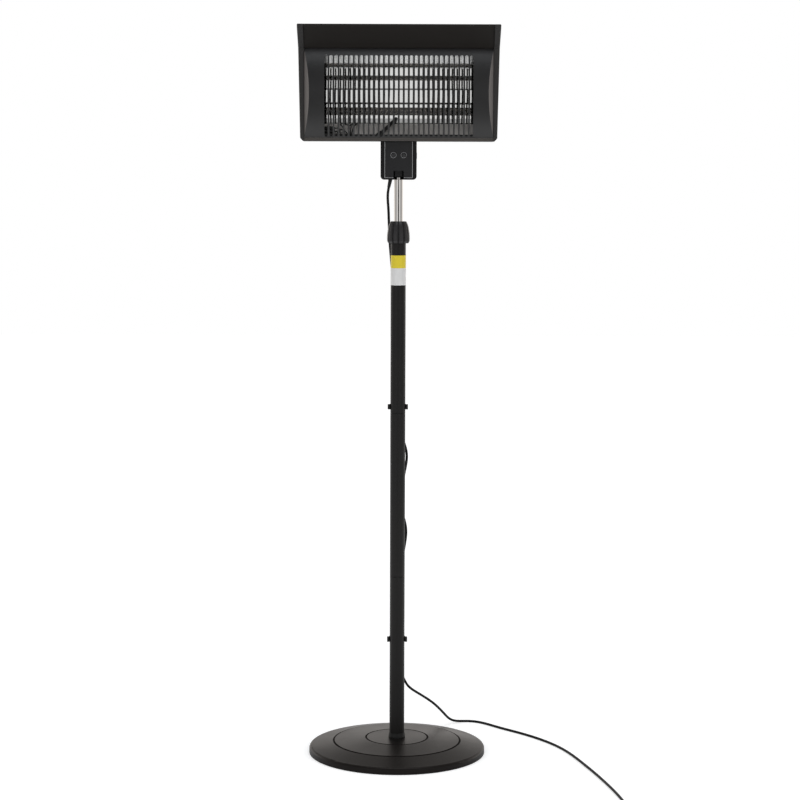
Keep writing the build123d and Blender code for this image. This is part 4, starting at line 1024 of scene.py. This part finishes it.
def rolled_metal(name, dark, light, roughness, wave_depth, streak_depth):
    """Rolled sheet metal: streaked colour and roughness, and a slightly wavy surface."""
    material, tree, shader = new_material(name, light, roughness[0], metallic=1.0)
    sheet = add_node(
        tree, "ShaderNodeGroup", node_tree=bpy.data.node_groups.get("rolling_streaks") or streak_group(),
    ).outputs
    waves = add_node(tree, "ShaderNodeBump", {
        "Strength": wave_depth, "Distance": WAVE_RISE, "Height": sheet["Waves"],
    })
    fine = add_node(tree, "ShaderNodeBump", {
        "Strength": streak_depth, "Distance": STREAK_RISE, "Height": sheet["Streaks"],
        "Normal": waves.outputs["Normal"],
    })
    feed(tree, shader, {
        "Base Color": mixed(tree, sheet["Streaks"], (*dark, 1.0), (*light, 1.0)),
        "Roughness": between(tree, sheet["Streaks"], *roughness, NOISE_LOW, NOISE_HIGH),
        "Normal": fine.outputs["Normal"],
    })
    return material


bright_sheet = rolled_metal(
    "bright_sheet", (0.80, 0.80, 0.79), (0.88, 0.88, 0.87), roughness=(0.03, 0.06), wave_depth=0.03,
    streak_depth=0.03,
)
satin_sheet = rolled_metal(
    "satin_sheet", (0.90, 0.90, 0.89), (0.96, 0.96, 0.95), roughness=(0.09, 0.14), wave_depth=0.03,
    streak_depth=0.03,
)
dull_sheet = grained(
    "dull_sheet", (0.29, 0.275, 0.26), (0.36, 0.345, 0.33), roughness=(0.50, 0.65), specular=0.3, grain=700,
    depth=0.05, patch=12,
)
# The height and the half width of each fold, which is painted with a dark line of shade.
FOLD_LINES = ((1.6546, 0.0022), (1.6893, 0.0019), (1.6048, 0.0021))
FOLD_SHADE = (0.02, 0.018, 0.016)
height = axes(bright_sheet.node_tree)["Z"]
shaded_fold = 0.0
for fold_z, half_width in FOLD_LINES:
    near = maths(bright_sheet.node_tree, "COMPARE", height, fold_z, half_width)
    shaded_fold = maths(bright_sheet.node_tree, "MAXIMUM", shaded_fold, near)
# Painted shade along the folds of the polished sheet.
darkened(bright_sheet.node_tree, shaded_fold, FOLD_SHADE)

SHEET = 0.0008
TROUGH_HALF_W = 0.226
# Outlines of Y and Z, in millimetres, from the top down.
TROUGH_LINE = in_metres([
    (-39, 1782.5), (5, 1775), (26, 1742), (26, 1693), (2, 1688), (2, 1655.7), (20, 1653.5), (24, 1637),
    (24, 1617.5), (22, 1606), (2, 1603.6),
])
TRAY_LINE = in_metres([(2, 1603.6), (-39.4, 1576.5)])
SILL_LINE = in_metres([(-40.2, 1577), (-40.2, 1561.2)])
FLANGE_LINE = in_metres([(-40, 1816), (-40, 1782.5)])
TOP_FOLD_Z = 1.742


def folded_strip(name, line, material, slot):
    """A sheet folded along this outline of Y and Z, front face first, with its thickness behind it."""
    front = [Vector(place) for place in line]
    normals = []
    for here, following in zip(front, front[1:]):
        run = (following - here).normalized()
        normals.append(Vector((-run.y, run.x)))
    behind = []
    for i, place in enumerate(front):
        first, second = normals[max(i - 1, 0)], normals[min(i, len(normals) - 1)]
        behind.append(place + (first + second) * (SHEET / (1 + first.dot(second))))
    edit = bmesh.new()
    outline = front + behind[::-1]
    ends = [[edit.verts.new((side * TROUGH_HALF_W, *place)) for place in outline] for side in (-1, 1)]
    skin(edit, ends)
    count = len(outline)
    for row in ends:
        for k in range(len(front) - 1):
            edit.faces.new((row[k], row[k + 1], row[count - 2 - k], row[count - 1 - k]))
    strip = finished(name, edit, material, smooth=False)
    fit(strip, "head", slot, "reflector")
    return strip


polished_trough = folded_strip("polished_trough", TROUGH_LINE, bright_sheet, "reflector_alu")
polished_trough.data.materials.append(satin_sheet)
for face in polished_trough.data.polygons:
    face.material_index = 1 if face.center.z > TOP_FOLD_Z else 0
folded_strip("lower_tray", TRAY_LINE, dull_sheet, "reflector_alu")
# The sill and the top flange take the housing's black coat, as painted shade where the sheet meets the
# housing.
folded_strip("trough_sill", SILL_LINE, head_coat, "head_paint")
folded_strip("trough_top_flange", FLANGE_LINE, head_coat, "head_paint")

LAMP_Y = 0.005
LAMP_HEIGHTS = (1.631, 1.718)
LAMP_HOLE_R = 0.007
LAMP_HOLE_SIDES = 24
END_PLATE = 0.001


def trough_end(name, side):
    """The plate that closes the trough at one side, with a round hole behind each lamp."""
    edit = bmesh.new()
    rims = [TROUGH_LINE + TRAY_LINE[1:]]
    for z in LAMP_HEIGHTS:
        rims.append([
            (LAMP_Y + LAMP_HOLE_R * cos(a), z + LAMP_HOLE_R * sin(a)) for a in angles(LAMP_HOLE_SIDES)
        ])
    edges = []
    for rim in rims:
        ring = [edit.verts.new((side * TROUGH_HALF_W, y, z)) for y, z in rim]
        edges += [edit.edges.new(pair) for pair in zip(ring, ring[1:] + ring[:1])]
    bmesh.ops.triangle_fill(edit, use_beauty=True, edges=edges)
    plate = bmesh.ops.extrude_face_region(edit, geom=list(edit.faces))
    for item in plate["geom"]:
        if isinstance(item, bmesh.types.BMVert):
            item.co.x += side * END_PLATE
    fit(finished(name, edit, bright_sheet, smooth=False), "head", "reflector_alu", "reflector_ends")


trough_end("trough_end_right", -1)
trough_end("trough_end_left", 1)

# ---------------------------------------------------------------- lamps
# Two quartz tubes, each with a coiled heating wire along it and a ceramic base at each end. A zinc-plated
# steel holder carries each base from the trough's end plate.
WIRE_HALF_L = 0.188
WIRE_COIL_R = 0.00095
WIRE_R = 0.00025
WIRE_PITCH = 0.0022
STEPS_A_TURN = 10
HEATER_WIRE_SIDES = 5
ceramic = grained("lamp_ceramic", (0.66, 0.63, 0.57), (0.78, 0.75, 0.69), roughness=(0.6, 0.75), depth=0.1)
heating_wire = grained(
    "heating_wire", (0.50, 0.48, 0.45), (0.66, 0.63, 0.59), roughness=(0.30, 0.45), depth=0.1, patch=60,
    metallic=1.0,
)
quartz, quartz_tree, quartz_shader = new_material("quartz", (0.30, 0.285, 0.27), roughness=0.03)
quartz_haze = add_node(
    quartz_tree, "ShaderNodeGroup", {"Grain size": 500.0, "Patch size": 30.0},
    node_tree=bpy.data.node_groups["surface_grain"],
)
feed(quartz_tree, quartz_shader, {
    "Transmission Weight": 1.0, "IOR": 1.46,
    "Roughness": between(quartz_tree, quartz_haze.outputs["Patches"], 0.01, 0.08),
})
dress_nodes(quartz, "lower_lamp", "upper_lamp")
dress_nodes(ceramic, "lamp_bases")
dress_nodes(zinc, "lamp_holders")


def heating_coil_tree():
    """A helix of wire along X, stood at every point of the seed."""
    tree, given, result = node_tree("heating_coil", {
        "Length": "NodeSocketFloat", "Coil radius": "NodeSocketFloat", "Wire radius": "NodeSocketFloat",
        "Turns": "NodeSocketFloat", "Finish": "NodeSocketMaterial",
    })
    helix = add_node(tree, "GeometryNodeCurveSpiral", {
        "Resolution": STEPS_A_TURN, "Rotations": given["Turns"], "Start Radius": given["Coil radius"],
        "End Radius": given["Coil radius"], "Height": given["Length"],
    })
    section = add_node(tree, "GeometryNodeCurvePrimitiveCircle", {
        "Resolution": HEATER_WIRE_SIDES, "Radius": given["Wire radius"],
    })
    wire = add_node(tree, "GeometryNodeCurveToMesh", {
        "Curve": helix.outputs["Curve"], "Profile Curve": section.outputs["Curve"], "Fill Caps": True,
    })
    start = add_node(tree, "ShaderNodeCombineXYZ", {"X": maths(tree, "MULTIPLY", given["Length"], -0.5)})
    lay = add_node(tree, "GeometryNodeTransform", {
        "Geometry": wire.outputs["Mesh"], "Translation": start.outputs[0], "Rotation": (0, pi / 2, 0),
    })
    points = add_node(tree, "GeometryNodeMeshToPoints", {"Mesh": given["Geometry"]})
    stand = add_node(tree, "GeometryNodeInstanceOnPoints", {
        "Points": points.outputs["Points"], "Instance": lay.outputs["Geometry"],
    })
    realize = add_node(tree, "GeometryNodeRealizeInstances", {"Geometry": stand.outputs["Instances"]})
    smooth = add_node(tree, "GeometryNodeSetShadeSmooth", {"Geometry": realize.outputs["Geometry"]})
    end_tree(tree, smooth.outputs["Geometry"], given["Finish"], result)
    return tree


wire_seed = bpy.data.meshes.new("heating_wire_places")
wire_seed.from_pydata([(0, LAMP_Y, z) for z in LAMP_HEIGHTS], [], [])
heating_wires = grown("heating_wires", wire_seed, heating_coil_tree(), {
    "Length": 2 * WIRE_HALF_L, "Coil radius": WIRE_COIL_R, "Wire radius": WIRE_R,
    "Turns": 2 * WIRE_HALF_L / WIRE_PITCH, "Finish": heating_wire,
})
fit(heating_wires, "head", "filament_wire", "filaments")

# ---------------------------------------------------------------- grille
# One bulged steel sheet with thirty long slots, powder-coated black. The slots are pressed, so their edges
# are slightly rounded. A slanted facet at each end closes the bulge; its lighter colour is painted light.
GRILLE_LOW, GRILLE_HIGH = 1.569, 1.788
GRILLE_MID = (GRILLE_LOW + GRILLE_HIGH) / 2
GRILLE_RIM_Y = -0.045
GRILLE_RISE = 0.026
GRILLE_HALF_W = 0.235
GRILLE_FACET = 0.0135
GRILLE_SHEET = 0.0012
SLOTS = 30
SLOT_PITCH = 0.0124
SLOT_W = 0.0078
SLOT_LOW, SLOT_HIGH = 1.5715, 1.771
SLOT_ROWS = 24
SLOT_END_STEPS = 8
FRAME_ROW = 0.008
PLAIN_STEPS = 8
FACET_STEPS = 4
END_PANEL_Y = 1.0
FACET_NORMAL_X = 0.5
TOUCHING = 1e-6
SEAM_GAP = 0.00002
EDGE_ROUNDING = 0.0003
half_chord = (GRILLE_HIGH - GRILLE_LOW) / 2
BULGE_R = (half_chord**2 + GRILLE_RISE**2) / (2 * GRILLE_RISE)
grille_coat = grained(
    "grille_coat", (0.0046, 0.0045, 0.0048), (0.0080, 0.0078, 0.0083), roughness=(0.28, 0.38),
    specular=0.42, grain=1500, depth=0.10, patch=5,
)
# Painted light: a lighter colour for the end facets, which stands in for the light on them.
facet_painted_light = grained(
    "facet_painted_light", (0.100, 0.092, 0.088), (0.145, 0.134, 0.129), roughness=(0.50, 0.62), specular=0.3,
    depth=0.06, patch=12,
)


def grid_faces(edit, columns):
    """Quads between each column of points and the next."""
    for a, b in zip(columns, columns[1:]):
        for i in range(len(a) - 1):
            edit.faces.new((a[i], b[i], b[i + 1], a[i + 1]))


def slot_cell():
    """One slot with half a bar at each side, flat, as quads; all its points lie at Y 0."""
    half_slot, half_cell = SLOT_W / 2, SLOT_PITCH / 2
    low, high = SLOT_LOW + half_slot, SLOT_HIGH - half_slot
    edit = bmesh.new()
    heights = [low + (high - low) * i / SLOT_ROWS for i in range(SLOT_ROWS + 1)]

    def corner(x, z):
        return edit.verts.new((x, 0, z))

    columns = {x: [corner(x, z) for z in heights] for x in (-half_cell, -half_slot, half_slot, half_cell)}
    grid_faces(edit, [columns[-half_cell], columns[-half_slot]])
    grid_faces(edit, [columns[half_slot], columns[half_cell]])
    for centre, side, limit in ((high, 1, GRILLE_HIGH), (low, -1, GRILLE_LOW)):
        end = 0 if side < 0 else SLOT_ROWS
        reach = min(half_cell, abs(limit - centre))
        bow, frame_line = [], []
        for k in range(SLOT_END_STEPS + 1):
            turn = pi * k / SLOT_END_STEPS
            across, up = cos(turn), sin(turn)
            stretch = 1 / max(abs(across), abs(up))
            frame_x = half_cell * across * stretch
            frame_z = centre + side * reach * up * stretch
            if k in (0, SLOT_END_STEPS):
                bow.append(columns[half_slot if k == 0 else -half_slot][end])
                frame_line.append(columns[half_cell if k == 0 else -half_cell][end])
            else:
                bow.append(corner(half_slot * across, centre + side * half_slot * up))
                frame_line.append(corner(frame_x, frame_z))
        grid_faces(edit, [bow, frame_line])
        top = frame_line[SLOT_END_STEPS // 4 : 3 * SLOT_END_STEPS // 4 + 1]
        spare = abs(limit - centre) - reach
        while spare > TOUCHING:
            rise = min(spare, FRAME_ROW)
            above = [corner(v.co.x, v.co.z + side * rise) for v in top]
            grid_faces(edit, [top, above])
            top, spare = above, spare - rise
    return edit


def end_panel(edit, heights):
    """The plain end, set apart by its Y: X from 0 to 1 runs to the fold, and from 1 to 2 over the facet."""
    reaches = [i / PLAIN_STEPS for i in range(PLAIN_STEPS)] + [
        1 + i / FACET_STEPS for i in range(FACET_STEPS + 1)
    ]
    grid_faces(edit, [[edit.verts.new((reach, END_PANEL_Y, z)) for z in heights] for reach in reaches])


def bulged_grille_tree():
    """Repeats the slot cell along X, adds a plain end at each side, and bends it all to the bulge."""
    sizes = ("Pitch", "Half width", "Facet", "Rise", "Bulge radius", "Middle height", "Rim depth")
    tree, given, result = node_tree("bulged_grille", {
        "Slots": "NodeSocketInt", **dict.fromkeys(sizes, "NodeSocketFloat"), "Finish": "NodeSocketMaterial",
    })

    def calc(operation, *values):
        return maths(tree, operation, *values)

    def put(geometry, x, y):
        """Moves points to this X and Y, at the height that they have."""
        spot = add_node(tree, "ShaderNodeCombineXYZ", {"X": x, "Y": y, "Z": place["Z"]})
        return add_node(tree, "GeometryNodeSetPosition", {
            "Geometry": geometry, "Position": spot.outputs[0],
        }).outputs["Geometry"]

    position = add_node(tree, "GeometryNodeInputPosition").outputs[0]
    place = add_node(tree, "ShaderNodeSeparateXYZ", {0: position}).outputs
    apart = add_node(tree, "GeometryNodeSeparateGeometry", {
        "Geometry": given["Geometry"], "Selection": calc("GREATER_THAN", place["Y"], END_PANEL_Y / 2),
    }, domain="POINT")

    half_row = calc("MULTIPLY", calc("SUBTRACT", given["Slots"], 1), 0.5)
    first_x = calc("MULTIPLY", calc("MULTIPLY", half_row, given["Pitch"]), -1)
    row = add_node(tree, "GeometryNodeMeshLine", {
        "Count": given["Slots"],
        "Start Location": add_node(tree, "ShaderNodeCombineXYZ", {"X": first_x}).outputs[0],
        "Offset": add_node(tree, "ShaderNodeCombineXYZ", {"X": given["Pitch"]}).outputs[0],
    })
    repeat = add_node(tree, "GeometryNodeInstanceOnPoints", {
        "Points": row.outputs["Mesh"], "Instance": apart.outputs["Inverted"],
    })
    realize = add_node(tree, "GeometryNodeRealizeInstances", {"Geometry": repeat.outputs["Instances"]})

    # How far the bulge stands forward of the rim, on an arc from its lower to its upper edge.
    above_mid = calc("SUBTRACT", place["Z"], given["Middle height"])
    arc_square = calc("MULTIPLY", given["Bulge radius"], given["Bulge radius"])
    arc_reach = calc("SQRT", calc("SUBTRACT", arc_square, calc("MULTIPLY", above_mid, above_mid)))
    bulge = calc("ADD", calc("SUBTRACT", arc_reach, given["Bulge radius"]), given["Rise"])
    depth = calc("MAXIMUM", bulge, 0.0)
    face_y = calc("SUBTRACT", given["Rim depth"], depth)

    slots_end = calc("MULTIPLY", calc("MULTIPLY", given["Slots"], given["Pitch"]), 0.5)
    facet = calc("MULTIPLY", given["Facet"], calc("DIVIDE", depth, given["Rise"]))
    fold_x = calc("SUBTRACT", given["Half width"], facet)
    reach = calc("MINIMUM", place["X"], 1.0)
    over = calc("MAXIMUM", calc("SUBTRACT", place["X"], 1.0), 0.0)
    plain_x = calc("ADD", slots_end, calc("MULTIPLY", reach, calc("SUBTRACT", fold_x, slots_end)))
    end_x = calc("ADD", plain_x, calc("MULTIPLY", over, calc("SUBTRACT", given["Half width"], fold_x)))
    end_y = calc("ADD", face_y, calc("MULTIPLY", over, depth))

    slotted = put(realize.outputs["Geometry"], place["X"], face_y)
    plain_end = put(apart.outputs["Selection"], end_x, end_y)
    other_end = add_node(tree, "GeometryNodeTransform", {"Geometry": plain_end, "Scale": (-1, 1, 1)})
    turned_over = add_node(tree, "GeometryNodeFlipFaces", {"Mesh": other_end.outputs["Geometry"]})
    together = add_node(tree, "GeometryNodeJoinGeometry")
    for source in (slotted, plain_end, turned_over.outputs["Mesh"]):
        feed(tree, together, {"Geometry": source})
    weld = add_node(tree, "GeometryNodeMergeByDistance", {
        "Geometry": together.outputs["Geometry"], "Distance": SEAM_GAP,
    })
    end_tree(tree, weld.outputs["Geometry"], given["Finish"], result)
    return tree


cell = slot_cell()
edge_heights = sorted({round(v.co.z, 7) for v in cell.verts if abs(v.co.x - SLOT_PITCH / 2) < 1e-7})
end_panel(cell, edge_heights)
bmesh.ops.recalc_face_normals(cell, faces=cell.faces)
for face in cell.faces:
    if face.normal.y > 0:
        face.normal_flip()
    face.smooth = True
cell_mesh = bpy.data.meshes.new("slot_cell")
cell.to_mesh(cell_mesh)
cell.free()
grille = grown("slotted_grille", cell_mesh, bulged_grille_tree(), {
    "Slots": SLOTS, "Pitch": SLOT_PITCH, "Half width": GRILLE_HALF_W, "Facet": GRILLE_FACET,
    "Rise": GRILLE_RISE, "Bulge radius": BULGE_R, "Middle height": GRILLE_MID, "Rim depth": GRILLE_RIM_Y,
    "Finish": grille_coat,
})
dress(grille, grille_coat)
grille.data.materials.append(facet_painted_light)
# Faces that face sideways are the end facets, which take the painted light.
for face in grille.data.polygons:
    face.material_index = 1 if abs(face.normal.x) > FACET_NORMAL_X else 0
wall = grille.modifiers.new("sheet", "SOLIDIFY")
wall.thickness = GRILLE_SHEET
wall.offset = -1.0
rolled = grille.modifiers.new("slot_edges", "BEVEL")
rolled.width = EDGE_ROUNDING
rolled.segments = 2
rolled.limit_method = "ANGLE"
rolled.angle_limit = radians(40)
rolled.harden_normals = True
fit(grille, "head", "grille_paint", "grille")

# ---------------------------------------------------------------- wiring
# Rubber-sleeved wires inside the head: a thick lead and a thinner one from the neck to the back of the
# lower trough, and three slack ones that serve the lamps' left ends, lying in the bottom of the head.
wire_sleeve = grained(
    "wire_sleeve", grey(0.004), grey(0.010), roughness=(0.5, 0.65), specular=0.3, grain=1400, depth=0.2,
)
WIRE_SIDES = 10
WIRE_RUNS = (
    ("sleeved_lead", 0.0044, [
        (-46, -43.4, 1571), (-43.5, -43.2, 1577), (-39.5, -40.5, 1584.5), (-31, -32, 1592),
        (-24, -22, 1599), (-17, -10, 1606.5), (-11, 4, 1612), (-8, 16, 1616), (-7, 24, 1617),
    ]),
    ("earth_lead", 0.0028, [
        (-58, -43.5, 1571), (-54, -43.5, 1577), (-46, -40, 1582.5), (-36, -33, 1587), (-28, -25, 1594),
        (-19, -12, 1602.5), (-12, 2, 1608), (-10, 14, 1612), (-9, 24, 1613),
    ]),
    ("lamp_wire_a", 0.0015, [
        (-214, -12, 1612), (-206, -24, 1602), (-196, -30, 1594), (-186, -31, 1591), (-157, -31, 1591),
        (-152, -31, 1593), (-147, -34, 1590), (-145, -39, 1583), (-143, -43.5, 1576), (-139, -44, 1573.5),
        (-135, -43.5, 1577), (-134, -38, 1584), (-136, -32, 1591), (-141, -28, 1597), (-146, -27, 1601),
        (-140, -24, 1605), (-131, -22, 1602), (-124, -22, 1598), (-118, -20, 1600), (-114, -12, 1605),
        (-112, 0, 1609), (-111, 12, 1612), (-111, 24, 1613),
    ]),
    ("lamp_wire_b", 0.0015, [
        (-214, -16, 1608), (-206, -27, 1598), (-196, -35, 1588), (-186, -37.5, 1584), (-157, -37.5, 1584),
        (-153, -39, 1583), (-149, -42, 1579), (-147, -44, 1574), (-151, -44.5, 1572.5), (-153, -43.5, 1577),
        (-150, -38.5, 1585), (-144, -34, 1589), (-137, -34, 1588), (-131, -38.5, 1583), (-127, -43, 1577),
        (-124, -44, 1573.5), (-121, -43.5, 1577), (-120, -37, 1585), (-119, -30, 1593), (-117, -20, 1600),
        (-114, -6, 1606), (-113, 10, 1610), (-113, 24, 1611),
    ]),
    ("lamp_wire_c", 0.0017, [
        (-100, 24, 1612), (-101, 6, 1608), (-104, -12, 1603), (-108, -22, 1600.5), (-111.5, -28, 1596),
        (-114.5, -35, 1588.5), (-116.5, -41, 1581.5), (-117.5, -43.8, 1575), (-118, -44, 1570.5),
    ]),
)
for wire_name, wire_r, wire_route in WIRE_RUNS:
    wire_points = run_points(wire_name + "_guide", in_metres(wire_route), 8)
    fit(tube_on(wire_name, wire_points, wire_r, WIRE_SIDES, wire_sleeve), "head", "cord_pvc")

# ---------------------------------------------------------------- wire joints
# Crimped joints of the lamp wires, each under a black rubber sleeve that narrows at its ends. They lie one
# below the other at the left, over the tray and in front of the sill.
JOINT_LEFT_X = -186
JOINT_SIDES = 16
# Each joint's middle Y and Z and its radius, in millimetres.
JOINTS = ((-31.0, 1591.0, 5.5), (-37.6, 1583.6, 4.2), (-43.4, 1576.2, 2.9), (-43.6, 1570.9, 2.3))
# Places along a joint from its left end, in millimetres, and the share of its radius there.
JOINT_PROFILE = ((0.0, 0.25), (1.2, 0.80), (3.0, 1.0), (24.0, 1.0), (26.5, 0.72), (28.5, 0.40))
joint_edit = bmesh.new()
for joint_y, joint_z, joint_r in JOINTS:
    joint_rings = [[
        joint_edit.verts.new(place) for place in in_metres([
            (JOINT_LEFT_X + along, joint_y + joint_r * share * cos(a), joint_z + joint_r * share * sin(a))
            for a in angles(JOINT_SIDES)
        ])
    ] for along, share in JOINT_PROFILE]
    skin(joint_edit, joint_rings)
    close_ends(joint_edit, joint_rings)
fit(finished("wire_joints", joint_edit, wire_sleeve), "head", "cord_pvc")

# ---------------------------------------------------------------- terminal block
# Ceramic block on the back wall behind the reflector, over the neck. The mains lead and the lamp wires are
# joined in its three bores.
dress_nodes(ceramic, "terminal_block")
